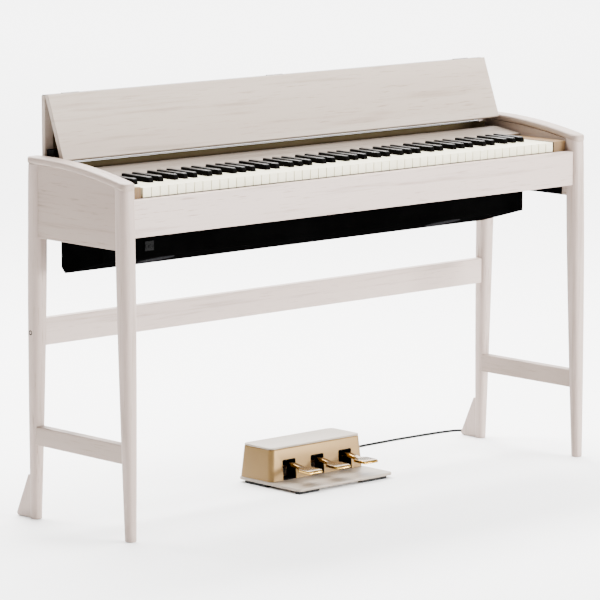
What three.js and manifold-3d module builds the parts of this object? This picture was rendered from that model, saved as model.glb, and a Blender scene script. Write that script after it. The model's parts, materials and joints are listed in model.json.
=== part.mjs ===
// Digital piano on a four-legged stand, with a folding lid and a separate pedal unit.
// Units are millimetres. +Z is up, X runs along the keyboard, and the player sits on the -Y side.
import * as THREE from 'three';
import { mergeVertices } from 'three/addons/utils/BufferGeometryUtils.js';
import Module from 'manifold-3d';

const wasm = await Module();
wasm.setup();

// ---------------------------------------------------------------- driving dimensions
const gap = 0.3;                    // clearance between pieces that touch

// Keyboard
const whitePitch = 23.5;            // one white key and its share of the gap
const whiteCount = 52;
const keyGap = 1.0;                 // air between neighbouring keys
const keyTopZ = 731.5;              // playing surface of the white keys
const keyHeight = 21;
const headLength = 52;              // full-width front part of a white key
const sharpRise = 12;               // how far a sharp stands above the white keys
const sharpReach = 91;              // visible length of a sharp
const sharpTopWidth = 9.6;
const sharpFrontSlope = 5;          // run of the sloped front of a sharp
const keyTailRun = 10;              // key behind its pivot

// Case
const endBlockWidth = 44;           // from the outermost key to the cheek
const endBlockGap = 3;
const endBlockRise = 1.5;           // block top above the white keys
const cheekThickness = 12;
const panelThickness = 15.7;
const panelDrop = 124.5;            // side panels and cheeks end this far below the white keys
const railThickness = 21;
const railHeight = 77.5;
const railDrop = 22;                // rail top below the playing surface
const keyToRail = 1.5;
const trayThickness = 16;
const flangeThickness = 2.5;
const backThickness = 11;
const fasciaThickness = 6;
const fasciaLip = 6.5;              // front edge of the fascia above the white keys
const fasciaRise = 17.5;            // rear edge of the fascia above the white keys
const fasciaRun = 145.5;            // key front to fascia front
const wellDepth = 31;               // open well between the fascia and the back board

// Legs, arms and stretchers
const legFootY = 156;               // foot centre from the middle of the stand
const legLeanY = 15.5;              // how far a leg leans in towards the top
const legLeanX = 2;
const legFootHalf = 10.95;
const legWideHalf = 18.5;
const legTopHalf = 18;
const legProud = 2.5;               // leg stands this far inside the cheek face
const legRoundness = 2.8;           // exponent of the rounded-square section
const armCrestRise = 46.5;          // arm crest above the white keys
const armThickness = 15;
const armCurveRadius = 1307;
const armCrestSetback = 10.5;       // arm crest in front of the rear leg's centre
const armOverhang = 19.5;           // arm end past the leg centres
const armInset = 2.5;               // arm inner edge inside the cheek face
const armWidth = 37;
const armCornerRadius = 13;
const sideStretcherWidth = 24;
const sideStretcherZ = [162, 203];
const crossRailThickness = 20;
const crossRailZ = [374.5, 433];
const finThickness = 16;
const finHeight = 95;
const finReach = 58;                // tail of the fin behind the foot centre
const finFoot = 16;

// Lid
const lidThickness = 11;
const lidSideGap = 4.5;             // lid end to cheek
const lidHingeRise = 25.5;          // case hinge above the white keys
const lidHingeSetback = 1.2;        // case hinge behind the back board
const lidHingeRadius = 2.2;
const lidEdgeGap = 2.5;             // hinge axis to panel edge
const lidClosedSlope = THREE.MathUtils.degToRad(7.5);
const lidRestGap = 20;              // open lid: front panel above the fascia
const foldHingeInset = 69.5;        // outer fold hinges from the lid's ends
const foldHingeLength = 46;
const foldHingeRadius = 2.8;
const foldHingeRise = 1.2;          // fold axis above the rear panel's top edge

// Speaker box under the key tray
const boxSideGap = 27;              // box end to cheek
const boxWall = 9;
const boxDepth = 137;
const boxSetIn = 21.5;              // box rear in front of the back board's rear
const boxFrontDrop = 68;            // front edge below the rail
const boxRearDrop = 103;
const boxChamfer = 12;
const speakerInset = 198;           // speaker centre from the box end
const speakerRadius = 50;
const jackInset = 125;              // headphone jacks from the left end of the box
const socketInset = 43;             // pedal socket from the right end of the box

// Pedal unit
const pedalUnitX = 48;
const plateHalfWidth = 144;
const plateY = [-45, 158];
const plateThickness = 8;
const padThickness = 4.5;
const housingHalfWidth = 141.5;
const housingY = [49.5, 157];
const housingHeight = 71;
const housingWall = 3;
const housingTaper = 5.5;
const housingCorner = 12;
const pedalTopThickness = 4;
const pedalPitch = 85;
const pedalWindow = [40, 46];
const pedalAxleY = 128;
const pedalAxleZ = 39;
const pedalAxleRadius = 4;
const pedalTipY = -36;
const pedalFootHalf = 22.5;         // half width of the part under the player's foot
const pedalFootLength = 38;
const pedalFootThickness = 7;
const pedalFootCorner = 5;
const pedalShankHalf = 7;
const pedalNeckLength = 16;         // run in which the foot narrows to the shank
const pedalLeverRise = 13;          // lever's top above the axle where it leaves the housing
const cordHoleInset = 71.5;         // cord hole from the right end of the housing
const cordHoleRise = 16;            // cord hole above the housing's lower edge

// Pedal cord
const cordDiameter = 5;
const plugRadius = 6;
const plugLength = 26;
const grommetReach = 13;            // grommet behind the housing

// ---------------------------------------------------------------- derived dimensions
const keyboardHalf = whitePitch * whiteCount / 2;
const cheekInner = keyboardHalf + endBlockWidth;
const cheekOuter = cheekInner + cheekThickness;
const legTopX = cheekInner - legProud + legTopHalf;
const legFootX = legTopX + legLeanX;
const legTopY = legFootY - legLeanY;
const armCrestY = legTopY - armCrestSetback;
const armHalfLength = legTopY + armOverhang;
const panelBottomZ = keyTopZ - panelDrop;
const armCrestZ = keyTopZ + armCrestRise;
const legTopZ = armCrestZ;
const legWideZ = keyTopZ - 171;
const armInner = cheekInner - armInset;
const railFrontY = -(legTopY + 11.5);
const railBackY = railFrontY + railThickness;
const railTopZ = keyTopZ - railDrop;
const railBottomZ = railTopZ - railHeight;
const keyFrontY = railBackY + keyToRail;
const keyBottomZ = keyTopZ - keyHeight;
const backRearY = legTopY - 1;
const backFrontY = backRearY - backThickness;
const fasciaFrontY = keyFrontY + fasciaRun;
const fasciaRearY = backFrontY - wellDepth;
const keyRearY = fasciaRearY - 2;
const keyPivotY = keyRearY - keyTailRun;
const keyPivotZ = keyBottomZ - 0.5;
const trayZ = [railBottomZ + 2, railBottomZ + 2 + trayThickness];
const lidHingeY = backRearY + lidHingeSetback;
const lidHingeZ = keyTopZ + lidHingeRise;
const lidHalf = cheekInner - lidSideGap;
const lidCoverage = lidHingeY - railFrontY - 1.2;
const lidRearLength = (lidCoverage - lidEdgeGap) / 2;
const lidFrontLength = lidRearLength / Math.cos(lidClosedSlope);
const foldZ = lidHingeZ + lidEdgeGap + lidRearLength;
const foldY = lidHingeY + gap;
const foldAxisZ = foldZ + foldHingeRise;
const lidRestZ = keyTopZ + fasciaRise + lidRestGap;
const lidFoldAngle = Math.acos((foldAxisZ - lidRestZ) / lidFrontLength);
const foldHingeX = lidHalf - foldHingeInset;
const boxTopZ = trayZ[0] - gap;
const boxHalfWidth = cheekInner - boxSideGap;
const boxRearY = backRearY - boxSetIn;
const boxFrontY = boxRearY - boxDepth;
const boxFrontZ = railBottomZ - boxFrontDrop;
const boxRearZ = railBottomZ - boxRearDrop;
const plateZ = [padThickness, padThickness + plateThickness];
const housingZ = [plateZ[1] + gap, plateZ[1] + gap + housingHeight];
const footRearY = legFootY + finReach;
const depthCentre = (footRearY - (legFootY + legFootHalf)) / 2;

// ---------------------------------------------------------------- materials
function finish(color, roughness, metalness = 0) {
  return new THREE.MeshStandardMaterial({ color, roughness, metalness });
}
const woodFinish = finish(0xdcd2cb, 0.55);
const ivoryFinish = finish(0xf0f0e2, 0.35);
const ebonyFinish = finish(0x141414, 0.5);
const blackFinish = finish(0x0b0b0b, 0.6);
const tanFinish = finish(0xb49673, 0.5);
const goldFinish = finish(0xd0be9b, 0.45, 0.6);
const brassFinish = finish(0xd8b266, 0.2, 1);
const steelFinish = finish(0x6b6b6b, 0.4, 1);
const boardFinish = finish(0x2d5a3c, 0.6);
const coneFinish = finish(0x1c1c1e, 0.8);
const cordFinish = finish(0x101010, 0.6);

// ---------------------------------------------------------------- geometry helpers
const piano = new THREE.Group();
const stand = new THREE.Group();
stand.position.y = -depthCentre;
piano.add(stand);

function addPart(name, geometry, material) {
  const mesh = new THREE.Mesh(geometry, material);
  mesh.name = name;
  stand.add(mesh);
  return mesh;
}

function solid(geometry) {
  const plain = geometry.clone();
  plain.deleteAttribute('normal');
  plain.deleteAttribute('uv');
  const merged = mergeVertices(plain, 1e-4);
  return new wasm.Manifold(new wasm.Mesh({
    numProp: 3,
    vertProperties: new Float32Array(merged.attributes.position.array),
    triVerts: new Uint32Array(merged.index.array),
  }));
}

function toGeometry(manifold) {
  const mesh = manifold.getMesh();
  const geometry = new THREE.BufferGeometry();
  geometry.setAttribute('position', new THREE.BufferAttribute(new Float32Array(mesh.vertProperties), 3));
  geometry.setIndex(new THREE.BufferAttribute(new Uint32Array(mesh.triVerts), 1));
  geometry.computeVertexNormals();
  return geometry;
}

function join(...pieces) {
  return toGeometry(pieces.map(solid).reduce((whole, piece) => whole.add(piece)));
}

function cut(body, ...tools) {
  return toGeometry(tools.map(solid).reduce((left, tool) => left.subtract(tool), solid(body)));
}

function overlapOf(a, b) {
  return toGeometry(solid(a).intersect(solid(b)));
}

function block(x0, x1, y0, y1, z0, z1) {
  const geometry = new THREE.BoxGeometry(x1 - x0, y1 - y0, z1 - z0);
  return geometry.translate((x0 + x1) / 2, (y0 + y1) / 2, (z0 + z1) / 2);
}

// A flat outline in X and Y, raised from z0 to z1.
function prismZ(shape, z0, z1) {
  const geometry = new THREE.ExtrudeGeometry(shape, { depth: z1 - z0, bevelEnabled: false, curveSegments: 6 });
  return geometry.translate(0, 0, z0);
}

// An outline in Y and Z, carried along X from x0 to x1.
function prismX(shape, x0, x1, curveSegments = 6) {
  const geometry = new THREE.ExtrudeGeometry(shape, { depth: x1 - x0, bevelEnabled: false, curveSegments });
  const turn = new THREE.Matrix4().makeBasis(
    new THREE.Vector3(0, 1, 0), new THREE.Vector3(0, 0, 1), new THREE.Vector3(1, 0, 0));
  return geometry.applyMatrix4(turn).translate(x0, 0, 0);
}

// A closed outline from its corners; a corner that repeats the one before is skipped.
function outline(points) {
  const corners = points.map(([u, v]) => new THREE.Vector2(u, v));
  return new THREE.Shape(corners.filter((corner, i) => i === 0 || corner.distanceTo(corners[i - 1]) > 0.01));
}

function roundedRectangle(u0, u1, v0, v1, radius) {
  const shape = new THREE.Shape();
  shape.moveTo(u0 + radius, v0);
  shape.lineTo(u1 - radius, v0);
  shape.absarc(u1 - radius, v0 + radius, radius, -Math.PI / 2, 0);
  shape.lineTo(u1, v1 - radius);
  shape.absarc(u1 - radius, v1 - radius, radius, 0, Math.PI / 2);
  shape.lineTo(u0 + radius, v1);
  shape.absarc(u0 + radius, v1 - radius, radius, Math.PI / 2, Math.PI);
  shape.lineTo(u0, v0 + radius);
  shape.absarc(u0 + radius, v0 + radius, radius, Math.PI, Math.PI * 1.5);
  return shape;
}

// A round bar along X, Y or Z.
function rod(axis, from, to, radius, centre, sides = 16) {
  const geometry = new THREE.CylinderGeometry(radius, radius, to - from, sides);
  const middle = (from + to) / 2;
  if (axis === 'x') return geometry.rotateZ(-Math.PI / 2).translate(middle, centre[0], centre[1]);
  if (axis === 'y') return geometry.translate(centre[0], middle, centre[1]);
  return geometry.rotateX(Math.PI / 2).translate(centre[0], centre[1], middle);
}

// ---------------------------------------------------------------- legs
function legHalfWidth(z) {
  const lower = Math.min(z / legWideZ, 1);
  const upper = Math.max((z - legWideZ) / (legTopZ - legWideZ), 0);
  const swell = 1 - (1 - lower) ** 1.5;
  return legFootHalf + (legWideHalf - legFootHalf) * swell - (legWideHalf - legTopHalf) * upper;
}

// A leg of rounded-square section that leans in and tapers to its foot.
function legGeometry(sideX, sideY, extra = 0, topZ = legTopZ) {
  const sides = 24;
  const rings = 8;
  const geometry = new THREE.CylinderGeometry(1, 1, 1, sides, rings);
  geometry.rotateX(Math.PI / 2).translate(0, 0, 0.5);
  const position = geometry.attributes.position;
  for (let i = 0; i < position.count; i += 1) {
    const z = position.getZ(i) * topZ;
    const angle = Math.atan2(position.getY(i), position.getX(i));
    const reach = Math.hypot(position.getX(i), position.getY(i));
    const power = Math.abs(Math.cos(angle)) ** legRoundness + Math.abs(Math.sin(angle)) ** legRoundness;
    const radius = reach * (legHalfWidth(z) + extra) / power ** (1 / legRoundness);
    const lean = z / legTopZ;
    const centreX = sideX * (legFootX - legLeanX * lean);
    const centreY = sideY * (legFootY - legLeanY * lean);
    position.setXYZ(i, centreX + radius * Math.cos(angle), centreY + radius * Math.sin(angle), z);
  }
  return geometry;
}

// Everything above the curved underside of the arms, lowered by a clearance.
function aboveArmLine(clearance) {
  const radius = armCurveRadius - armThickness - clearance;
  const centreZ = armCrestZ - armCurveRadius;
  const reach = armHalfLength + 40;
  const steps = 16;
  const points = [];
  for (let i = 0; i <= steps; i += 1) {
    const y = -reach + i * 2 * reach / steps;
    const run = Math.min(y - armCrestY, 0);
    points.push([y, centreZ + Math.sqrt(radius * radius - run * run)]);
  }
  points.push([reach, armCrestZ + 60], [-reach, armCrestZ + 60]);
  return prismX(outline(points), -legFootX - 80, legFootX + 80);
}

const armLineCutter = aboveArmLine(gap);
const legs = [
  ['leg_front_left', -1, -1],
  ['leg_front_right', 1, -1],
  ['leg_rear_left', -1, 1],
  ['leg_rear_right', 1, 1],
];
for (const [name, sideX, sideY] of legs) {
  addPart(name, cut(legGeometry(sideX, sideY), armLineCutter), woodFinish);
}
const legRoom = legs.map(([, sideX, sideY]) => legGeometry(sideX, sideY, gap, legTopZ + 5));

// ---------------------------------------------------------------- arms, side panels, cheeks, stretchers
const sides = [['left', -1], ['right', 1]];

function armGeometry(side) {
  const inner = side * armInner;
  const outer = side * (armInner + armWidth);
  const plan = roundedRectangle(
    Math.min(inner, outer), Math.max(inner, outer), -armHalfLength, armHalfLength, armCornerRadius);
  const centreZ = armCrestZ - armCurveRadius;
  const lowRadius = armCurveRadius - armThickness;
  const steps = 16;
  const top = [];
  const bottom = [];
  for (let i = 0; i <= steps; i += 1) {
    const y = -armHalfLength - 1 + i * (2 * armHalfLength + 2) / steps;
    const run = Math.min(y - armCrestY, 0);
    top.push([y, centreZ + Math.sqrt(armCurveRadius ** 2 - run * run)]);
    bottom.push([y, centreZ + Math.sqrt(lowRadius ** 2 - run * run)]);
  }
  const profile = prismX(outline([...bottom, ...top.reverse()]), Math.min(inner, outer) - 1, Math.max(inner, outer) + 1);
  return overlapOf(prismZ(plan, armCrestZ - 80, armCrestZ + 5), profile);
}

function mirroredBlock(side, innerX, outerX, y0, y1, z0, z1) {
  return block(Math.min(side * innerX, side * outerX), Math.max(side * innerX, side * outerX), y0, y1, z0, z1);
}

for (const [label, side] of sides) {
  addPart(`arm_${label}`, armGeometry(side), woodFinish);
  const cheek = mirroredBlock(side, cheekInner, cheekOuter, -legTopY, legTopY, panelBottomZ, armCrestZ);
  addPart(`cheek_${label}`, cut(cheek, armLineCutter, ...legRoom), woodFinish);
  const panel = mirroredBlock(
    side, cheekOuter + gap, cheekOuter + gap + panelThickness, -legTopY, legTopY, panelBottomZ, armCrestZ);
  addPart(`side_panel_${label}`, cut(panel, armLineCutter, ...legRoom), woodFinish);
  const stretcherX = legFootX - 1.5;
  const stretcher = mirroredBlock(
    side, stretcherX - sideStretcherWidth / 2, stretcherX + sideStretcherWidth / 2,
    -legFootY + 4, legFootY - 4, ...sideStretcherZ);
  addPart(`side_stretcher_${label}`, cut(stretcher, ...legRoom), woodFinish);
}

const crossRailY = legFootY - legLeanY * crossRailZ[0] / legTopZ;
const crossRail = block(
  -legFootX, legFootX, crossRailY - crossRailThickness / 2, crossRailY + crossRailThickness / 2, ...crossRailZ);
addPart('rear_cross_rail', cut(crossRail, ...legRoom), woodFinish);

const railHalf = cheekInner - gap;
const frontRail = block(-railHalf, railHalf, railFrontY, railBackY, railBottomZ, railTopZ);
addPart('front_rail', cut(frontRail, ...legRoom), woodFinish);

// Tail fins behind the rear feet stop the piano tipping back.
for (const [label, side] of sides) {
  const profile = outline([
    [legFootY, 1], [footRearY - finFoot, 1], [footRearY, 1], [footRearY, 6],
    [legFootY + legFootHalf + 6, finHeight], [legFootY, finHeight]]);
  const fin = prismX(profile, side * legFootX - finThickness / 2, side * legFootX + finThickness / 2);
  addPart(`tail_fin_${label}`, cut(fin, ...legRoom), woodFinish);
}

// ---------------------------------------------------------------- key tray, speaker box and electronics
const trayHalf = cheekInner - gap;
const flangeRearY = legTopY - legWideHalf - 4;
function flange(side) {
  return mirroredBlock(
    side, trayHalf - flangeThickness, trayHalf, -flangeRearY, flangeRearY, panelBottomZ + 0.5, trayZ[0] + 5);
}
const trayBoard = block(-trayHalf, trayHalf, railBackY + gap, backRearY, ...trayZ);
addPart('key_tray', cut(join(trayBoard, flange(-1), flange(1)), ...legRoom), blackFinish);

const boxOuterProfile = [
  [boxFrontY, boxTopZ], [boxFrontY, boxFrontZ], [boxRearY - boxChamfer, boxRearZ],
  [boxRearY, boxRearZ + boxChamfer], [boxRearY, boxTopZ]];
const boxSlope = Math.atan2(boxFrontZ - boxRearZ, boxRearY - boxChamfer - boxFrontY);
const boxFloorWall = boxWall / Math.cos(boxSlope);
const boxInnerProfile = [
  [boxFrontY + boxWall, boxTopZ + 1],
  [boxFrontY + boxWall, boxFrontZ + boxFloorWall - boxWall * Math.tan(boxSlope)],
  [boxRearY - boxChamfer - boxWall / 2, boxRearZ + boxFloorWall + boxWall / 2 * Math.tan(boxSlope)],
  [boxRearY - boxWall, boxRearZ + boxChamfer + boxWall / 2], [boxRearY - boxWall, boxTopZ + 1]];
const speakerY = (boxFrontY + boxRearY - boxChamfer) / 2;
const speakerFloorZ = (boxFrontZ + boxRearZ) / 2;

// Places a piece drawn around the origin on the sloping floor of the speaker box.
function onBoxFloor(geometry, x) {
  return geometry.rotateX(-boxSlope).translate(x, speakerY, speakerFloorZ);
}

const boxShell = prismX(outline(boxOuterProfile), -boxHalfWidth, boxHalfWidth);
const boxHollow = prismX(outline(boxInnerProfile), -boxHalfWidth + boxWall, boxHalfWidth - boxWall);
const speakerX = boxHalfWidth - speakerInset;
const speakerHoles = [-speakerX, speakerX].map(
  (x) => onBoxFloor(rod('z', -boxWall * 2, boxWall * 2.5, speakerRadius - 8, [0, 0], 24), x));
addPart('speaker_box', cut(boxShell, boxHollow, ...speakerHoles), blackFinish);

// Loudspeaker: flange, cone basket and magnet, open at the front of the cone.
function speakerGeometry() {
  const profile = [
    [0, 4], [12, 4], [speakerRadius - 9, 1], [speakerRadius - 9, 0], [speakerRadius, 0], [speakerRadius, 4],
    [speakerRadius - 6, 4], [26, 22], [26, 38], [0, 38]];
  const points = profile.map(([r, z]) => new THREE.Vector2(r, z));
  return new THREE.LatheGeometry(points, 24).rotateX(Math.PI / 2);
}
for (const [label, side] of sides) {
  const driver = onBoxFloor(speakerGeometry().translate(0, 0, boxWall + gap), side * speakerX);
  addPart(`speaker_${label}`, driver, coneFinish);
}

const mainBoardZ = boxTopZ - 34;
const board = block(-130, 130, boxFrontY + 25, boxRearY - 25, mainBoardZ, mainBoardZ + 1.6);
const boardMiddleY = (boxFrontY + boxRearY) / 2;
function onBoard(x, half, topZ) {
  return block(x - half, x + half, boardMiddleY - half, boardMiddleY + half, mainBoardZ + 1, topZ);
}
const chips = [-80, 0, 80].map((x) => onBoard(x, 14, mainBoardZ + 6));
const standoffs = [-110, 110].map((x) => onBoard(x, 5, boxTopZ - 0.4));
addPart('main_board', join(board, ...chips, ...standoffs), boardFinish);

const jackX = jackInset - boxHalfWidth;
const jackZ = boxFrontZ + 25;
const jackPlate = block(jackX - 12, jackX + 12, boxFrontY - gap - 3, boxFrontY - gap, jackZ - 10, jackZ + 10);
const jackHoles = [-6, 6].map((dx) => rod('y', boxFrontY - 5, boxFrontY, 3.4, [jackX + dx, jackZ], 12));
addPart('headphone_jacks', cut(jackPlate, ...jackHoles), blackFinish);

// ---------------------------------------------------------------- case pieces around the keyboard
const backBoard = block(-trayHalf, trayHalf, backFrontY, backRearY, trayZ[1] + gap, lidHingeZ - gap);
addPart('back_board', cut(backBoard, ...legRoom), woodFinish);

const fasciaProfile = [
  [fasciaFrontY, keyTopZ + 1.5], [fasciaFrontY + fasciaThickness, keyTopZ + 1.5],
  [fasciaRearY, keyTopZ + fasciaRise - fasciaThickness], [fasciaRearY, keyTopZ + fasciaRise],
  [fasciaRearY - 7, keyTopZ + fasciaRise], [fasciaFrontY, keyTopZ + fasciaLip]];
addPart('fascia', prismX(outline(fasciaProfile), -trayHalf, trayHalf), woodFinish);

for (const [label, side] of sides) {
  const blockBody = mirroredBlock(side, keyboardHalf + endBlockGap, trayHalf, keyFrontY + 1.5,
    fasciaFrontY - gap, trayZ[1] + gap, keyTopZ + endBlockRise);
  addPart(`end_block_${label}`, cut(blockBody, ...legRoom), tanFinish);
}

// Key frame: base plate, balance rail under the pivots and guide rail near the key fronts.
const frameHalf = keyboardHalf - 1;
const frameBaseZ = trayZ[1] + gap;
const framePlate = block(-frameHalf, frameHalf, keyFrontY + 6, keyRearY, frameBaseZ, frameBaseZ + 3);
const balanceRail = block(
  -frameHalf, frameHalf, keyPivotY - 5, keyPivotY + 5, frameBaseZ + 1, keyPivotZ);
const guideRail = block(-frameHalf, frameHalf, keyFrontY + 18, keyFrontY + 26, frameBaseZ + 1, keyBottomZ - 14);
addPart('key_frame', join(framePlate, balanceRail, guideRail), blackFinish);

// ---------------------------------------------------------------- keys
// Each octave splits into a three-white group (C D E) and a four-white group (F G A B).
// The tails and sharps of a group share its width equally.
const octaveNames = ['c', 'd', 'e', 'f', 'g', 'a', 'b'];
const sharpAfter = { c: true, d: true, e: false, f: true, g: true, a: true, b: false };
const groupStart = { c: 0, d: 0, e: 0, f: 3, g: 3, a: 3, b: 3 };
const groupSlots = { c: 5, d: 5, e: 5, f: 7, g: 7, a: 7, b: 7 };
const firstWhite = 5;               // the lowest white key is an A

// Left edge of slot s in the group that holds white key number n.
function slotEdge(n, letter, s) {
  const whitesInGroup = groupSlots[letter] === 5 ? 3 : 4;
  const indexInGroup = octaveNames.indexOf(letter) - groupStart[letter];
  const groupLeft = -keyboardHalf + (n - indexInGroup) * whitePitch;
  return groupLeft + s * whitesInGroup * whitePitch / groupSlots[letter];
}

function keyPlan(n) {
  const letter = octaveNames[(n + firstWhite) % 7];
  const indexInGroup = octaveNames.indexOf(letter) - groupStart[letter];
  const headLeft = -keyboardHalf + n * whitePitch;
  const headRight = headLeft + whitePitch;
  const tailLeft = n === 0 ? headLeft : slotEdge(n, letter, indexInGroup * 2);
  const tailRight = n === whiteCount - 1 ? headRight : slotEdge(n, letter, indexInGroup * 2 + 1);
  const hasSharp = sharpAfter[letter] && n < whiteCount - 1;
  return { letter, headLeft, headRight, tailLeft, tailRight, hasSharp };
}

function whiteKeyGeometry(plan, rearY = keyRearY) {
  const half = keyGap / 2;
  const shoulderY = keyFrontY + headLength;
  const shape = outline([
    [plan.headLeft + half, keyFrontY], [plan.headRight - half, keyFrontY],
    [plan.headRight - half, shoulderY], [plan.tailRight - half, shoulderY],
    [plan.tailRight - half, rearY], [plan.tailLeft + half, rearY],
    [plan.tailLeft + half, shoulderY], [plan.headLeft + half, shoulderY]]);
  return prismZ(shape, keyBottomZ, keyTopZ);
}

// A sharp is a low bar under the fascia with a raised, narrower playing ridge in front of it.
function sharpGeometry(n, letter, bottomZ = keyBottomZ) {
  const indexInGroup = octaveNames.indexOf(letter) - groupStart[letter];
  const left = slotEdge(n, letter, indexInGroup * 2 + 1) + keyGap / 2;
  const right = slotEdge(n, letter, indexInGroup * 2 + 2) - keyGap / 2;
  const frontY = keyFrontY + headLength + keyGap;
  const bar = block(left, right, frontY, keyRearY, bottomZ, keyTopZ - 0.5);
  const middle = (left + right) / 2;
  const bottomHalf = (right - left) / 2;
  const topHalf = sharpTopWidth / 2;
  const section = outline([
    [middle - bottomHalf, keyTopZ - 1], [middle + bottomHalf, keyTopZ - 1],
    [middle + topHalf, keyTopZ + sharpRise], [middle - topHalf, keyTopZ + sharpRise]]);
  const ridge = new THREE.ExtrudeGeometry(section, { depth: sharpReach, bevelEnabled: false });
  ridge.rotateX(Math.PI / 2).translate(0, frontY + sharpReach, 0);
  const slope = outline([
    [frontY - 1, keyTopZ], [frontY - 1, keyTopZ + sharpRise + 1],
    [frontY + sharpFrontSlope, keyTopZ + sharpRise + 1]]);
  return join(bar, cut(ridge, prismX(slope, left - 1, right + 1)));
}

// The middle octave moves key by key; the other keys are held by a comb at each end of the keyboard.
const movingOctaveStart = 23;       // the C in the middle of the keyboard
const movingOctaveEnd = movingOctaveStart + 7;
const combWidth = 5;
const whiteCombHeight = 6;
const whiteGroupRearY = keyRearY - combWidth - gap;
const sharpGroupBottomZ = keyBottomZ + whiteCombHeight + gap;
const groups = [
  ['low', 0, movingOctaveStart],
  ['high', movingOctaveEnd, whiteCount]];

for (let n = movingOctaveStart; n < movingOctaveEnd; n += 1) {
  const plan = keyPlan(n);
  addPart(`key_${plan.letter}`, whiteKeyGeometry(plan), ivoryFinish);
  if (plan.hasSharp) addPart(`key_${plan.letter}_sharp`, sharpGeometry(n, plan.letter), ebonyFinish);
}
for (const [label, first, end] of groups) {
  const plans = [];
  for (let n = first; n < end; n += 1) plans.push([n, keyPlan(n)]);
  const combLeft = -keyboardHalf + first * whitePitch + keyGap;
  const combRight = -keyboardHalf + end * whitePitch - keyGap;
  const whites = plans.map(([, plan]) => whiteKeyGeometry(plan, whiteGroupRearY));
  const whiteComb = block(combLeft, combRight, whiteGroupRearY - combWidth - 2, whiteGroupRearY - 2,
    keyBottomZ + 0.5, keyBottomZ + whiteCombHeight);
  addPart(`keys_${label}`, join(whiteComb, ...whites), ivoryFinish);
  const sharps = plans.filter(([, plan]) => plan.hasSharp)
    .map(([n, plan]) => sharpGeometry(n, plan.letter, sharpGroupBottomZ));
  const sharpComb = block(combLeft, combRight, keyRearY - combWidth, keyRearY, sharpGroupBottomZ + 1, keyTopZ - 2);
  addPart(`sharps_${label}`, join(sharpComb, ...sharps), ebonyFinish);
}

// ---------------------------------------------------------------- lid
// Case hinge: one long leaf behind the back board with its barrel on the seam.
const hingeHalf = lidHalf - 6;
const caseHinge = join(
  rod('x', -hingeHalf, hingeHalf, lidHingeRadius, [lidHingeY + lidHingeRadius - 0.8, lidHingeZ], 10),
  block(-hingeHalf, hingeHalf, lidHingeY - 0.9, lidHingeY + 0.6, lidHingeZ - 14, lidHingeZ));
addPart('case_hinge', caseHinge, steelFinish);

// The rear panel stands upright in the open position.
const rearPanelY = [lidHingeY + gap, lidHingeY + gap + lidThickness];
const rearPanel = block(-lidHalf, lidHalf, ...rearPanelY, lidHingeZ + lidEdgeGap, foldZ);
addPart('lid_rear_panel', rearPanel, woodFinish);

// The front panel hangs from the fold hinges and leans towards the player.
// It is drawn flat below the fold line, then turned about it.
function foldedPiece(geometry) {
  return geometry.rotateX(-lidFoldAngle).translate(0, foldY, foldAxisZ);
}
const foldXs = [-foldHingeX, 0, foldHingeX];
const hingeNotches = foldXs.map((x) => block(
  x - foldHingeLength / 2 - 1, x + foldHingeLength / 2 + 1,
  -foldHingeRadius - 1, 2, -foldHingeRadius - 1.2, 1));
const frontPanel = cut(
  block(-lidHalf, lidHalf, -lidThickness, -gap, -lidFrontLength, -foldHingeRise - 1), ...hingeNotches);
addPart('lid_front_panel', foldedPiece(frontPanel), woodFinish);

// Fold hinge: a thin leaf on the rear panel's top edge with three raised knuckles.
const foldLeaf = block(-lidHalf, lidHalf, foldY, foldY + 8, foldZ + gap, foldZ + 1.8);
const knuckles = foldXs.map((x) => rod(
  'x', x - foldHingeLength / 2, x + foldHingeLength / 2, foldHingeRadius, [foldY, foldAxisZ], 12));
const underLeaf = block(-lidHalf, lidHalf, foldY, foldY + 12, foldZ - 8, foldZ + gap);
addPart('fold_hinge', cut(join(foldLeaf, ...knuckles), underLeaf), steelFinish);

// Soft-close dampers on the inner face of the rear panel.
for (const [label, side] of sides) {
  const damper = mirroredBlock(side, lidHalf - 20, lidHalf - 4, rearPanelY[0] - gap - 24, rearPanelY[0] - gap,
    lidHingeZ + 14, lidHingeZ + 34);
  addPart(`lid_damper_${label}`, damper, blackFinish);
}

// ---------------------------------------------------------------- pedal unit
const unit = { left: pedalUnitX - plateHalfWidth, right: pedalUnitX + plateHalfWidth };
const plateBoard = prismZ(roundedRectangle(unit.left, unit.right, ...plateY, 10), ...plateZ);
const sidePadY = [plateY[1] - 95, plateY[1] - 22];
const padWidth = 14;
const padEdge = 1.5;
const frontPadLength = [60, 76];    // left and right
const frontPadRight = 20;           // right end of the plate to its front pad
function pad(x0, x1, y0, y1) {
  return block(x0, x1, y0, y1, 0, plateZ[0] + 1);
}
const frontPadY = [plateY[0] + padEdge, plateY[0] + padEdge + padWidth];
const pads = [
  pad(unit.left + padEdge, unit.left + padEdge + padWidth, ...sidePadY),
  pad(unit.right - padEdge - padWidth, unit.right - padEdge, ...sidePadY),
  pad(unit.left + 2, unit.left + 2 + frontPadLength[0], ...frontPadY),
  pad(unit.right - frontPadRight - frontPadLength[1], unit.right - frontPadRight, ...frontPadY)];
addPart('pedal_plate', join(plateBoard, ...pads), woodFinish);

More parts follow.
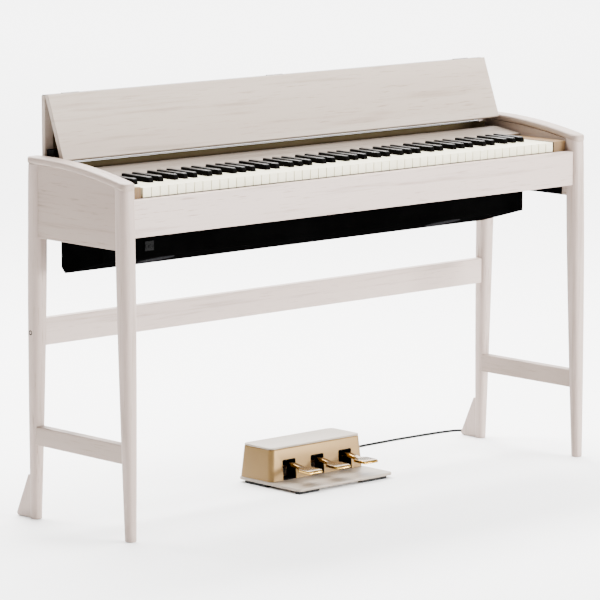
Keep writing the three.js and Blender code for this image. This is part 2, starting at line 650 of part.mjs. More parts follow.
// A rounded box that narrows evenly towards its top.
function taperedBox(inset, z0, z1) {
  const shape = roundedRectangle(pedalUnitX - housingHalfWidth + inset, pedalUnitX + housingHalfWidth - inset,
    housingY[0] + inset, housingY[1] - inset, housingCorner - Math.min(inset, housingCorner / 2));
  const geometry = prismZ(shape, z0, z1);
  const centreY = (housingY[0] + housingY[1]) / 2;
  const position = geometry.attributes.position;
  for (let i = 0; i < position.count; i += 1) {
    const share = (position.getZ(i) - housingZ[0]) / housingHeight * housingTaper;
    position.setX(i, position.getX(i) - Math.sign(position.getX(i) - pedalUnitX) * share);
    position.setY(i, position.getY(i) - Math.sign(position.getY(i) - centreY) * share);
  }
  return geometry;
}
const pedalXs = [-1, 0, 1].map((i) => pedalUnitX + i * pedalPitch);
const windows = pedalXs.map((x) => prismX(
  roundedRectangle(housingY[0] - 20, housingY[0] + 20, housingZ[0] - 10, housingZ[0] + pedalWindow[1], 4),
  x - pedalWindow[0] / 2, x + pedalWindow[0] / 2));
const cordHoleX = pedalUnitX + housingHalfWidth - cordHoleInset;
const cordHoleZ = housingZ[0] + cordHoleRise;
const cordHole = rod('y', housingY[1] - 20, housingY[1] + 5, 6 + gap, [cordHoleX, cordHoleZ], 16);
const housingShell = cut(
  taperedBox(0, ...housingZ), taperedBox(housingWall, housingZ[0] - 1, housingZ[1] + 1), ...windows, cordHole);
addPart('pedal_housing', housingShell, goldFinish);
const capZ = [housingZ[1] + gap, housingZ[1] + gap + pedalTopThickness];
addPart('pedal_housing_top', taperedBox(0.3, ...capZ), woodFinish);

const axleHalf = housingHalfWidth - housingWall - housingTaper / 2 - 2;
const axle = rod(
  'x', pedalUnitX - axleHalf, pedalUnitX + axleHalf, pedalAxleRadius, [pedalAxleY, pedalAxleZ], 16);
addPart('pedal_axle', axle, steelFinish);

// A pedal: a lever from the axle to the window and a broad flat foot plate in front.
const pedalFootY = [pedalTipY, pedalTipY + pedalFootLength];
const pedalFootZ = [pedalAxleZ - 0.5, pedalAxleZ - 0.5 + pedalFootThickness];
function pedalGeometry(x) {
  const shank = pedalShankHalf;
  const wide = pedalFootHalf;
  const corner = pedalFootCorner;
  const [tip, heel] = pedalFootY;
  const neck = heel + pedalNeckLength;
  const windowY = housingY[0] - 10;
  const side = outline([
    [pedalAxleY + 12, pedalAxleZ - 8], [pedalAxleY + 12, pedalAxleZ + 8],
    [pedalAxleY - 20, pedalAxleZ + pedalLeverRise - 1], [windowY, pedalAxleZ + pedalLeverRise],
    [neck - 8, pedalFootZ[1] + 1], [heel - 8, pedalFootZ[1] - 0.5],
    [heel - 8, pedalFootZ[0] - 0.5], [neck - 8, pedalFootZ[0] + 0.5],
    [windowY - 2, pedalAxleZ + 5], [pedalAxleY - 24, pedalAxleZ + 4], [pedalAxleY - 8, pedalAxleZ - 8]]);
  const lever = prismX(side, x - shank, x + shank);
  const foot = new THREE.Shape();
  foot.moveTo(x - shank, neck);
  foot.quadraticCurveTo(x - shank, heel + 4, x - wide, heel);
  foot.lineTo(x - wide, tip + corner);
  foot.quadraticCurveTo(x - wide, tip, x - wide + corner, tip);
  foot.lineTo(x + wide - corner, tip);
  foot.quadraticCurveTo(x + wide, tip, x + wide, tip + corner);
  foot.lineTo(x + wide, heel);
  foot.quadraticCurveTo(x + shank, heel + 4, x + shank, neck);
  const plate = prismZ(foot, ...pedalFootZ);
  return cut(join(lever, plate), rod('x', x - 10, x + 10, pedalAxleRadius + gap, [pedalAxleY, pedalAxleZ], 16));
}
for (const [label, x] of [['left', pedalXs[0]], ['middle', pedalXs[1]], ['right', pedalXs[2]]]) {
  addPart(`pedal_${label}`, pedalGeometry(x), brassFinish);
}

// ---------------------------------------------------------------- pedal cord
const grommetBack = housingY[1] + grommetReach;
const grommetProfile = [[0, -16], [5.5, -16], [5.5, 2], [3.4, 14], [0, 14]].map(([r, y]) => new THREE.Vector2(r, y));
const grommet = new THREE.LatheGeometry(grommetProfile, 16);
addPart('cord_grommet', grommet.translate(cordHoleX, grommetBack - 14, cordHoleZ), blackFinish);

const socketX = boxHalfWidth - socketInset;
const socketZ = boxTopZ - 30;
const socketDepth = 4;
const socketBody = block(
  socketX - 11, socketX + 11, boxRearY + gap, boxRearY + gap + socketDepth, socketZ - 9, socketZ + 9);
addPart('pedal_socket', socketBody, blackFinish);
const plugFrontY = boxRearY + 2 * gap + socketDepth;
const plugProfile = [[0, 0], [plugRadius, 0], [plugRadius, plugLength * 0.6], [3.4, plugLength], [0, plugLength]]
  .map(([r, y]) => new THREE.Vector2(r, y));
const plug = new THREE.LatheGeometry(plugProfile, 16);
addPart('pedal_plug', plug.translate(socketX, plugFrontY, socketZ), blackFinish);

const cordRoute = [
  [cordHoleX, grommetBack + gap, cordHoleZ], [cordHoleX, 180, cordHoleZ], [cordHoleX + 2, 196, 22],
  [cordHoleX + 6, 214, 7], [cordHoleX + 16, 230, 2.8], [cordHoleX + 40, 246, 2.7], [220, 254, 2.7],
  [300, 258, 2.7], [400, 262, 2.7], [500, 264, 2.7], [590, 261, 2.7], [650, 256.5, 2.7], [684, 248, 2.7],
  [701, 232, 2.7], [704, 210, 2.7], [698, 190, 4.5], [690, 175, 18], [686.5, 169, 42], [685, 167.5, 80],
  [685.3, 167, 180], [686.2, 166.5, 300], [687.2, 165, 430], [687.5, 164, 520], [686, 165.5, 562],
  [676, 171, 590], [655, 174, 600], [630, 173.5, 602.5], [603, 172, 603.4], [591, 167, socketZ],
  [socketX, plugFrontY + plugLength + 8, socketZ], [socketX, plugFrontY + plugLength + gap, socketZ]];
const cordPath = new THREE.CatmullRomCurve3(cordRoute.map((point) => new THREE.Vector3(...point)));
const cordSides = 8;
const cordSection = new THREE.Shape();
for (let i = 0; i < cordSides; i += 1) {
  const angle = i * 2 * Math.PI / cordSides;
  const corner = [Math.cos(angle) * cordDiameter / 2, Math.sin(angle) * cordDiameter / 2];
  if (i === 0) cordSection.moveTo(...corner);
  else cordSection.lineTo(...corner);
}
addPart('pedal_cord', new THREE.ExtrudeGeometry(cordSection, { steps: 80, extrudePath: cordPath }), cordFinish);

export default piano;
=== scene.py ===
"""Digital piano on a stand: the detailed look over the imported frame.

Lengths inside this script are millimetres in the frame's axes, and become metres when a mesh is made.
"""
import json
import math

import bpy
import numpy as np
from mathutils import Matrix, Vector


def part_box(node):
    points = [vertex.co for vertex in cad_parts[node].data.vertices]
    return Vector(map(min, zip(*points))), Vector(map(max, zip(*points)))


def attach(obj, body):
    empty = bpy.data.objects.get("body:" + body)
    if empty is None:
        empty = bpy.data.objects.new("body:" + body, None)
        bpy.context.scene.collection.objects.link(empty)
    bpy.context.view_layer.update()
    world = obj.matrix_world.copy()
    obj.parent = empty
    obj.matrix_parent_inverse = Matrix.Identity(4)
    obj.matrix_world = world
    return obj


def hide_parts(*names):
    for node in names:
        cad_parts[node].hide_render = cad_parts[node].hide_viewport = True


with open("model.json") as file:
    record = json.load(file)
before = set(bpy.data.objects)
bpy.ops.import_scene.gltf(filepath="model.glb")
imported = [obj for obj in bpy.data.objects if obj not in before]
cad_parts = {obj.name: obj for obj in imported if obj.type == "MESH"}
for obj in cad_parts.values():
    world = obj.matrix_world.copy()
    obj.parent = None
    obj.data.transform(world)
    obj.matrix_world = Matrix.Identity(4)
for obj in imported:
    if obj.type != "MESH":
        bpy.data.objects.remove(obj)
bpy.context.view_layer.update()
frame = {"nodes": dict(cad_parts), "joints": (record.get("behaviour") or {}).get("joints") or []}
CAD = frame["nodes"]
JOINT = {j["name"]: j for j in frame["joints"]}
MM = 1000.0


def box(name):
    """Lowest and highest corner of a CAD node, in millimetres."""
    low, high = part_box(name)
    return np.array(low) * MM, np.array(high) * MM


def pivot(name):
    """A joint's point, in millimetres."""
    return np.array(JOINT[name]["pos_m"]) * MM


# ------------------------------------------------------------------ camera
# The stand's middle sits a little behind the frame's origin.
STAND_Y = (box("arm_left")[0][1] + box("arm_left")[1][1]) / 2
camera_data = bpy.data.cameras.new("camera")
camera_data.lens = 226.0
camera_data.sensor_width = 36.0
camera_data.clip_end = 60.0
camera = bpy.data.objects.new("camera", camera_data)
camera.location = (-5.585, -6.009 + STAND_Y / MM, 1.693)
camera.rotation_euler = (math.radians(90 - 8.832), 0.0, math.radians(-42.637))
bpy.context.scene.collection.objects.link(camera)
bpy.context.scene.camera = camera


# ------------------------------------------------------------------ node groups and materials
def add_node(tree, kind, links=None, **values):
    """A node with its settings; links maps an input to a socket, and other inputs take numbers."""
    node = tree.nodes.new(kind)
    for key, value in values.items():
        setattr(node, key, value)
    for key, value in (links or {}).items():
        if isinstance(value, bpy.types.NodeSocket):
            tree.links.new(value, node.inputs[key])
        else:
            node.inputs[key].default_value = value
    return node


def math_node(tree, operation, a, b):
    """One arithmetic step on two sockets or numbers."""
    return add_node(tree, "ShaderNodeMath", {0: a, 1: b}, operation=operation).outputs[0]


def noise(tree, vector, scale, detail=3.0, rough=0.55, distortion=0.0):
    """Cloudy noise between 0 and 1 over the given coordinates."""
    made = add_node(tree, "ShaderNodeTexNoise", {
        "Vector": vector, "Scale": scale, "Detail": detail, "Roughness": rough, "Distortion": distortion})
    return made.outputs["Fac"]


def ramp(tree, fac, low, high, to_low=0.0, to_high=1.0):
    """Rise from to_low to to_high while fac goes from low to high, smoothed at both ends."""
    return add_node(tree, "ShaderNodeMapRange", {
        0: fac, 1: low, 2: high, 3: to_low, 4: to_high}, interpolation_type="SMOOTHSTEP").outputs[0]


def blend_colours(tree, fac, a, b):
    """Colour a where fac is 0, b where it is 1, and their mix between."""
    made = add_node(tree, "ShaderNodeMix", data_type="RGBA")
    for index, value in ((0, fac), (6, a), (7, b)):
        if isinstance(value, bpy.types.NodeSocket):
            tree.links.new(value, made.inputs[index])
        else:
            made.inputs[index].default_value = value
    return made.outputs[2]


def new_group(name, colours, numbers=()):
    """An empty node group with a Vector input, named colour and number inputs, and the usual outputs."""
    tree = bpy.data.node_groups.new(name, "ShaderNodeTree")
    tree.interface.new_socket("Vector", in_out="INPUT", socket_type="NodeSocketVector")
    for colour in colours:
        tree.interface.new_socket(colour, in_out="INPUT", socket_type="NodeSocketColor")
    for number in numbers:
        tree.interface.new_socket(number, in_out="INPUT", socket_type="NodeSocketFloat")
    tree.interface.new_socket("Color", in_out="OUTPUT", socket_type="NodeSocketColor")
    tree.interface.new_socket("Roughness", in_out="OUTPUT", socket_type="NodeSocketFloat")
    tree.interface.new_socket("Height", in_out="OUTPUT", socket_type="NodeSocketFloat")
    return tree, tree.nodes.new("NodeGroupInput"), tree.nodes.new("NodeGroupOutput")


def close_group(tree, out, colour, rough, height):
    """Joins the finished colour, roughness and height to the group's outputs."""
    for name, socket in (("Color", colour), ("Roughness", rough), ("Height", height)):
        tree.links.new(socket, out.inputs[name])
    return tree


def make_open_grain():
    """White-washed open grain: broad bands of tone, short streaks, and fine pores that hold less wash."""
    tree, given, out = new_group("open_grain", ("Base", "Band", "Pore"), ("Roughness",))
    vector = given.outputs["Vector"]
    bands = ramp(tree, noise(tree, vector, 7.0, 3.0, 0.5, 0.6), 0.35, 0.68)
    streaks = ramp(tree, noise(tree, vector, 60.0, 4.0, 0.6), 0.52, 0.76)
    pores = ramp(tree, noise(tree, vector, 330.0, 3.0, 0.6), 0.57, 0.72)
    patches = ramp(tree, noise(tree, vector, 16.0, 2.0), 0.35, 0.65)
    pores = math_node(tree, "MULTIPLY", pores, ramp(tree, patches, 0.0, 1.0, 0.35, 1.0))
    tone = blend_colours(tree, math_node(tree, "MULTIPLY", bands, 0.7), given.outputs["Base"],
                         given.outputs["Band"])
    tone = blend_colours(tree, math_node(tree, "MULTIPLY", streaks, 0.5), tone, given.outputs["Pore"])
    tone = blend_colours(tree, math_node(tree, "MULTIPLY", pores, 0.6), tone, given.outputs["Pore"])
    rough = math_node(tree, "ADD", given.outputs["Roughness"], math_node(tree, "MULTIPLY", pores, 0.15))
    depth = math_node(tree, "ADD", pores, math_node(tree, "MULTIPLY", streaks, 0.4))
    height = math_node(tree, "SUBTRACT", 1.0, depth)
    return close_group(tree, out, tone, rough, height)


def make_moulded():
    """Moulded or painted surface: faint clouds of tone, fine texture and slightly uneven gloss."""
    tree, given, out = new_group("moulded", ("Base", "Cloud"), ("Roughness", "Grit"))
    vector = given.outputs["Vector"]
    clouds = ramp(tree, noise(tree, vector, 14.0, 4.0), 0.35, 0.7)
    grit = noise(tree, vector, given.outputs["Grit"], 3.0, 0.6)
    tone = blend_colours(tree, math_node(tree, "MULTIPLY", clouds, 0.5), given.outputs["Base"],
                         given.outputs["Cloud"])
    tone = blend_colours(tree, math_node(tree, "MULTIPLY", ramp(tree, grit, 0.45, 0.7), 0.25), tone,
                         given.outputs["Cloud"])
    spread = math_node(tree, "MULTIPLY", math_node(tree, "SUBTRACT", grit, 0.5), 0.22)
    rough = math_node(tree, "ADD", given.outputs["Roughness"], spread)
    return close_group(tree, out, tone, rough, grit)


def make_top_mask():
    """A mask that is 1 on faces that look up and 0 on upright ones, with the shine that goes with it."""
    tree = bpy.data.node_groups.new("top_mask", "ShaderNodeTree")
    for name in ("Specular", "Roughness", "Mask"):
        tree.interface.new_socket(name, in_out="OUTPUT", socket_type="NodeSocketFloat")
    out = tree.nodes.new("NodeGroupOutput")
    coords = add_node(tree, "ShaderNodeTexCoord")
    up = add_node(tree, "ShaderNodeSeparateXYZ", {0: coords.outputs["Normal"]}).outputs[2]
    mask = ramp(tree, up, 0.55, 0.92)
    tree.links.new(ramp(tree, mask, 0.0, 1.0, 0.01, 0.22), out.inputs["Specular"])
    tree.links.new(ramp(tree, mask, 0.0, 1.0, 0.5, 0.3), out.inputs["Roughness"])
    tree.links.new(mask, out.inputs["Mask"])
    return tree


def make_ivory():
    """Ivory-like key cover: long fine growth lines along the key, and soft patches of a yellower tone."""
    tree, given, out = new_group("ivory_lines", ("Base", "Line"), ("Roughness",))
    stretch = add_node(tree, "ShaderNodeMapping", {
        "Vector": given.outputs["Vector"], "Scale": (1.0, 0.05, 1.0)})
    lines = noise(tree, stretch.outputs[0], 700.0, 3.0, 0.6)
    soft = noise(tree, given.outputs["Vector"], 35.0, 2.0)
    tone = blend_colours(tree, ramp(tree, lines, 0.4, 0.75, 0.0, 0.45), given.outputs["Base"],
                         given.outputs["Line"])
    tone = blend_colours(tree, ramp(tree, soft, 0.4, 0.7, 0.0, 0.3), tone, given.outputs["Line"])
    rough = math_node(tree, "ADD", given.outputs["Roughness"],
                      math_node(tree, "MULTIPLY", math_node(tree, "SUBTRACT", lines, 0.5), 0.2))
    return close_group(tree, out, tone, rough, lines)


def make_brushed():
    """Brushed metal: fine parallel scratches that change gloss and tone a little, and broad dark bands of
    painted reflection.
    """
    tree, given, out = new_group("brushed", ("Base", "Shade"), ("Roughness",))
    scratches = noise(tree, given.outputs["Vector"], 900.0, 3.0, 0.7)
    reflection_bands = noise(tree, given.outputs["Vector"], 25.0, 3.0)
    tone = blend_colours(tree, ramp(tree, scratches, 0.4, 0.75, 0.0, 0.5), given.outputs["Base"],
                         given.outputs["Shade"])
    # Broad bands of the darker colour are a painted reflection.
    tone = blend_colours(tree, ramp(tree, reflection_bands, 0.44, 0.56, 0.0, 0.75), tone, given.outputs["Shade"])
    rough = math_node(tree, "ADD", given.outputs["Roughness"],
                      math_node(tree, "MULTIPLY", math_node(tree, "SUBTRACT", reflection_bands, 0.45), 0.3))
    return close_group(tree, out, tone, rough, scratches)


def make_knit():
    """Woven cloth of a speaker grille: two crossing sets of threads."""
    tree, given, out = new_group("knit", ("Base", "Thread"), ("Roughness",))
    waves = []
    for axis in ("X", "Y"):
        wave = add_node(tree, "ShaderNodeTexWave", {
            "Vector": given.outputs["Vector"], "Scale": 260.0, "Distortion": 0.3}, bands_direction=axis)
        waves.append(wave.outputs["Fac"])
    weave = math_node(tree, "MULTIPLY", waves[0], waves[1])
    tone = blend_colours(tree, weave, given.outputs["Base"], given.outputs["Thread"])
    return close_group(tree, out, tone, given.outputs["Roughness"], weave)


GROUPS = {
    "grain": make_open_grain(),
    "moulded": make_moulded(),
    "ivory": make_ivory(),
    "brushed": make_brushed(),
    "knit": make_knit(),
}


def material(name, group, colours, numbers, bump=0.0005, strength=0.3, stretch=(1, 1, 1), **shader):
    """A material whose colour, gloss and relief come from a node group over object coordinates."""
    made = bpy.data.materials.new(name)
    made.use_nodes = True
    tree = made.node_tree
    bsdf = tree.nodes["Principled BSDF"]
    coords = add_node(tree, "ShaderNodeTexCoord")
    mapping = add_node(tree, "ShaderNodeMapping", {"Vector": coords.outputs["Object"], "Scale": stretch})
    body = add_node(tree, "ShaderNodeGroup", node_tree=GROUPS[group])
    tree.links.new(mapping.outputs[0], body.inputs["Vector"])
    for key, value in colours.items():
        body.inputs[key].default_value = (*value, 1.0)
    for key, value in numbers.items():
        body.inputs[key].default_value = value
    relief = add_node(tree, "ShaderNodeBump", {
        "Height": body.outputs["Height"], "Strength": strength, "Distance": bump})
    tree.links.new(body.outputs["Color"], bsdf.inputs["Base Color"])
    tree.links.new(body.outputs["Roughness"], bsdf.inputs["Roughness"])
    tree.links.new(relief.outputs[0], bsdf.inputs["Normal"])
    for key, value in shader.items():
        bsdf.inputs[key.replace("_", " ")].default_value = value
    made.diffuse_color = (*next(iter(colours.values())), 1.0)
    return made


# The same white wash, a little darker or lighter on each part: the lid and side copies are darker as painted
# shade, and the fascia copy is much darker as painted shadow from the lid.
WASH = {"Base": (0.485, 0.39, 0.345), "Band": (0.42, 0.325, 0.28), "Pore": (0.16, 0.105, 0.08)}
LID_WASH_PAINTED_SHADE = {"Base": (0.42, 0.35, 0.295), "Band": (0.355, 0.285, 0.235), "Pore": (0.18, 0.13, 0.095)}
FASCIA_WASH_PAINTED_SHADOW = {"Base": (0.217, 0.172, 0.136), "Band": (0.183, 0.139, 0.108), "Pore": (0.10, 0.072, 0.05)}
LEG_WASH = {"Base": (0.41, 0.325, 0.285), "Band": (0.35, 0.27, 0.23), "Pore": (0.14, 0.095, 0.07)}
SIDE_WASH_PAINTED_SHADE = {"Base": (0.325, 0.252, 0.21), "Band": (0.275, 0.208, 0.17), "Pore": (0.12, 0.08, 0.055)}
# A small scale along one axis draws the grain out along it.
ALONG_X, ALONG_Y, ALONG_Z = (0.045, 1.0, 1.0), (1.0, 0.045, 1.0), (1.0, 1.0, 0.045)


def wash(name, stretch, base):
    """White-washed wood whose grain runs along the stretched axis."""
    return material(name, "grain", base, {"Roughness": 0.5}, bump=0.0004, strength=0.3, stretch=stretch,
                    Specular_IOR_Level=0.35)


WOOD_X = wash("white_wash_along_x", ALONG_X, WASH)
# The copy for the arms, side panels, cheeks and stretchers is darker as painted shade on the sides.
WOOD_Y_SHADED = wash("white_wash_along_y", ALONG_Y, SIDE_WASH_PAINTED_SHADE)
WOOD_Z = wash("white_wash_along_z", ALONG_Z, LEG_WASH)
# The lid's copy is darker as painted shade.
WOOD_LID_SHADED = wash("white_wash_lid", ALONG_X, LID_WASH_PAINTED_SHADE)
# The fascia's copy is much darker as painted shadow from the lid.
WOOD_FASCIA_SHADOWED = wash("white_wash_fascia", ALONG_X, FASCIA_WASH_PAINTED_SHADOW)
BOARD = material("pedal_board_paint", "grain", {
    "Base": (0.315, 0.262, 0.205), "Band": (0.275, 0.222, 0.172), "Pore": (0.18, 0.135, 0.10)},
    {"Roughness": 0.42}, bump=0.0003, strength=0.2, stretch=(0.05, 1.0, 1.0))
IVORY = material("ivory_key", "ivory", {"Base": (0.80, 0.77, 0.57), "Line": (0.72, 0.67, 0.44)},
                 {"Roughness": 0.32}, bump=0.0001, strength=0.15)
EBONY = material("ebony_key", "moulded", {"Base": (0.0012, 0.0011, 0.001), "Cloud": (0.004, 0.0036, 0.0033)},
                 {"Roughness": 0.42, "Grit": 900.0}, bump=0.0002, strength=0.2, stretch=(1.0, 0.08, 1.0))
# This dark brown is painted shade for the well and the lid's rear panel.
WELL_SHADE = material("brown_felt", "moulded", {"Base": (0.075, 0.056, 0.030), "Cloud": (0.05, 0.037, 0.018)},
                {"Roughness": 0.9, "Grit": 500.0}, bump=0.0002, strength=0.3, Specular_IOR_Level=0.0)
TAN = material("end_block_tan", "moulded", {"Base": (0.165, 0.10, 0.046), "Cloud": (0.137, 0.082, 0.036)},
               {"Roughness": 0.5, "Grit": 600.0}, bump=0.0002, strength=0.15, Specular_IOR_Level=0.12)
LAMINATE = material("black_laminate", "moulded", {
    "Base": (0.0006, 0.0006, 0.0006), "Cloud": (0.0014, 0.0014, 0.0014)},
    {"Roughness": 0.5, "Grit": 450.0}, bump=0.0003, strength=0.25, IOR=1.0, Specular_IOR_Level=0.0)
BLACK = material("black_plastic", "moulded", {"Base": (0.002, 0.002, 0.0022), "Cloud": (0.006, 0.006, 0.006)},
                 {"Roughness": 0.5, "Grit": 1200.0}, bump=0.0002, strength=0.3, Specular_IOR_Level=0.03)
RUBBER = material("cord_jacket", "moulded", {"Base": (0.003, 0.003, 0.003), "Cloud": (0.008, 0.008, 0.008)},
                  {"Roughness": 0.58, "Grit": 1500.0}, bump=0.0002, strength=0.3, Specular_IOR_Level=0.15)
# The darker colours of steel and brass are also laid in broad bands as painted reflection.
STEEL = material("dark_steel", "brushed", {"Base": (0.30, 0.29, 0.28), "Shade": (0.18, 0.17, 0.165)},
                 {"Roughness": 0.36}, bump=0.0001, strength=0.2, stretch=(0.02, 1.0, 1.0), Metallic=1.0)
CHAMPAGNE = material("champagne_paint", "moulded", {
    "Base": (0.205, 0.125, 0.044), "Cloud": (0.18, 0.107, 0.036)},
    {"Roughness": 0.42, "Grit": 1400.0}, bump=0.0001, strength=0.15, Metallic=0.4, Specular_IOR_Level=0.25)
BRASS = material("polished_brass", "brushed", {"Base": (0.66, 0.39, 0.09), "Shade": (0.10, 0.055, 0.012)},
                 {"Roughness": 0.13}, bump=0.00005, strength=0.08, stretch=(1.0, 0.03, 1.0), Metallic=1.0)
PAPER = material("speaker_cone", "moulded", {"Base": (0.012, 0.012, 0.013), "Cloud": (0.025, 0.025, 0.026)},
                 {"Roughness": 0.8, "Grit": 300.0}, bump=0.0005, strength=0.4)
CIRCUIT = material("circuit_board", "moulded", {"Base": (0.03, 0.12, 0.05), "Cloud": (0.02, 0.08, 0.035)},
                   {"Roughness": 0.4, "Grit": 500.0}, bump=0.0002, strength=0.2)
CLOTH = material("speaker_cloth", "knit", {"Base": (0.006, 0.006, 0.007), "Thread": (0.035, 0.035, 0.037)},
                 {"Roughness": 0.85}, bump=0.0005, strength=0.6, Specular_IOR_Level=0.0)
TOP_MASK = make_top_mask()


def polish_tops(finish):
    """Gives faces that look up more shine than upright ones."""
    tree = finish.node_tree
    shader = tree.nodes["Principled BSDF"]
    polish = add_node(tree, "ShaderNodeGroup", node_tree=TOP_MASK)
    tree.links.new(polish.outputs["Specular"], shader.inputs["Specular IOR Level"])
    tree.links.new(polish.outputs["Roughness"], shader.inputs["Roughness"])


def darken_tops(finish, film, share):
    """Lays one darker colour over faces that look up as a painted reflection, at the given share of its full
    strength.
    """
    tree = finish.node_tree
    shader = tree.nodes["Principled BSDF"]
    tone = shader.inputs["Base Color"].links[0].from_socket
    mask = add_node(tree, "ShaderNodeGroup", node_tree=TOP_MASK).outputs["Mask"]
    blended = blend_colours(tree, math_node(tree, "MULTIPLY", mask, share), tone, (*film, 1.0))
    tree.links.new(blended, shader.inputs["Base Color"])


polish_tops(EBONY)
# The brass's tops get a dark colour as painted reflection.
darken_tops(BRASS, film=(0.09, 0.05, 0.015), share=0.85)


# ------------------------------------------------------------------ mesh helpers
def add_piece(name, verts, faces, body, finish, slot, hides=(), bevel=0.0, segments=2, sharp=40.0):
    """Makes a piece from millimetre vertices, rounds its edges, and ties it to a CAD body."""
    mesh = bpy.data.meshes.new(name)
    mesh.from_pydata((np.asarray(verts, float) / MM).tolist(), [], [list(map(int, f)) for f in faces])
    mesh.validate()
    mesh.materials.append(finish)
    mesh.polygons.foreach_set("use_smooth", [True] * len(mesh.polygons))
    mesh.set_sharp_from_angle(angle=math.radians(sharp))
    piece = bpy.data.objects.new(name, mesh)
    bpy.context.scene.collection.objects.link(piece)
    if bevel:
        rounding = piece.modifiers.new("edge_rounding", "BEVEL")
        rounding.width = bevel / MM
        rounding.segments = segments
        rounding.limit_method = "ANGLE"
        rounding.angle_limit = math.radians(35)
        rounding.harden_normals = True
    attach(piece, body)
    if hides:
        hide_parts(*hides)
    return piece


def merge(*shapes):
    """Several (vertices, faces) shapes as one."""
    verts, faces, start = [], [], 0
    for v, f in shapes:
        verts.append(np.asarray(v, float))
        faces.extend([[i + start for i in face] for face in f])
        start += len(v)
    return np.concatenate(verts), faces


def prism(outline, axis, start, end):
    """A closed outline swept straight: every outline point is repeated at both ends of the sweep axis."""
    points = np.asarray(outline, float)
    area = np.sum(points[:, 0] * np.roll(points[:, 1], -1) - np.roll(points[:, 0], -1) * points[:, 1])
    if area < 0:
        points = points[::-1]
    n = len(points)
    verts = np.zeros((2 * n, 3))
    across = {"x": (1, 2), "y": (2, 0), "z": (0, 1)}[axis]
    along = "xyz".index(axis)
    for level, value in ((0, start), (1, end)):
        part = verts[level * n:(level + 1) * n]
        part[:, across[0]] = points[:, 0]
        part[:, across[1]] = points[:, 1]
        part[:, along] = value
    sides = [[i, (i + 1) % n, n + (i + 1) % n, n + i] for i in range(n)]
    return verts, [list(range(n))[::-1], list(range(n, 2 * n)), *sides]


def brick(low, high):
    """A straight-edged board between two corners, whose edges are rounded afterwards."""
    outline = [(low[0], low[1]), (high[0], low[1]), (high[0], high[1]), (low[0], high[1])]
    return prism(outline, "z", low[2], high[2])


def loft(rings):
    """Quads between neighbouring rings of equal size, closed at both ends by one face each."""
    rings = np.asarray(rings, float)
    count, n = rings.shape[:2]
    ring, i = np.mgrid[0:count - 1, 0:n]
    j = (i + 1) % n
    quads = np.stack([ring * n + i, ring * n + j, (ring + 1) * n + j, (ring + 1) * n + i], axis=-1)
    first, last = list(range(n))[::-1], list(range((count - 1) * n, count * n))
    return rings.reshape(-1, 3), [*quads.reshape(-1, 4).tolist(), first, last]


def round_rect(half_u, half_v, radius, steps=5):
    """Rectangle with quarter-circle corners, counter-clockwise around zero."""
    radius = min(radius, half_u * 0.999, half_v * 0.999)
    angle = math.pi / 2 * (np.arange(4)[:, None] + np.arange(steps + 1) / steps)
    sign_u, sign_v = np.array([[1, -1, -1, 1], [1, 1, -1, -1]])[:, :, None]
    u = sign_u * (half_u - radius) + radius * np.cos(angle)
    v = sign_v * (half_v - radius) + radius * np.sin(angle)
    return np.column_stack([u.ravel(), v.ravel()])


def lathe(profile, axis, centre, sides=32):
    """A profile of (radius, distance) turned about an axis through centre."""
    rings = []
    for radius, along in profile:
        angle = np.arange(sides) * 2 * math.pi / sides
        u, v = radius * np.cos(angle), radius * np.sin(angle)
        w = np.full(sides, float(along))
        columns = {"x": (w, u, v), "y": (v, w, u), "z": (u, v, w)}[axis]
        rings.append(np.stack(columns, axis=1) + np.asarray(centre, float))
    return loft(rings)


def turn_x(verts, angle, about):
    """Turns vertices about a line along X through (y, z)."""
    out = np.array(verts, float)
    y, z = out[:, 1] - about[0], out[:, 2] - about[1]
    out[:, 1] = about[0] + y * math.cos(angle) - z * math.sin(angle)
    out[:, 2] = about[1] + y * math.sin(angle) + z * math.cos(angle)
    return out


def paint(node, finish):
    """Gives a CAD node that is kept as it is its finished material."""
    mesh = CAD[node].data
    mesh.materials.clear()
    mesh.materials.append(finish)


# ------------------------------------------------------------------ pedal cord
PLUG_LOW, PLUG_HIGH = box("pedal_plug")
GROMMET_LOW, GROMMET_HIGH = box("cord_grommet")
UNIT_LOW, UNIT_HIGH = box("pedal_plate")
cord_x = (GROMMET_LOW[0] + GROMMET_HIGH[0]) / 2
cord_z = (GROMMET_LOW[2] + GROMMET_HIGH[2]) / 2
plug_x = (PLUG_LOW[0] + PLUG_HIGH[0]) / 2
plug_z = (PLUG_LOW[2] + PLUG_HIGH[2]) / 2
RESTING = 2.7
# Chosen points of the cord's way round the floor and up the rear right leg, with y from the stand's middle.
bends = [
    (cord_x, 180, cord_z), (cord_x + 2, 196, 22), (cord_x + 6, 214, 7), (cord_x + 16, 230, 2.8),
    (cord_x + 40, 246, RESTING), (220, 254, RESTING), (300, 258, RESTING), (400, 262, RESTING),
    (500, 264, RESTING), (590, 261, RESTING), (650, 256.5, RESTING), (684, 248, RESTING),
    (701, 232, RESTING), (704, 210, RESTING), (698, 190, 4.5), (690, 175, 18), (686.5, 169, 42),
    (685, 167.5, 80), (685.3, 167, 180), (686.2, 166.5, 300), (687.2, 165, 430), (687.5, 164, 520),
    (686, 165.5, 562), (676, 171, 590), (655, 174, 600), (630, 173.5, 602.5), (603, 172, 603.4),
    (591, 167, plug_z)]
route = [
    (cord_x, GROMMET_HIGH[1] + 0.3, cord_z), *[(x, y + STAND_Y, z) for x, y, z in bends],
    (plug_x, PLUG_HIGH[1] + 8, plug_z), (plug_x, PLUG_HIGH[1] + 0.3, plug_z)]


def between(s, start, end, a, b):
    """Straight mix of a and b, by how far s lies from start to end."""
    return (end - s) / (end - start) * a + (s - start) / (end - start) * b


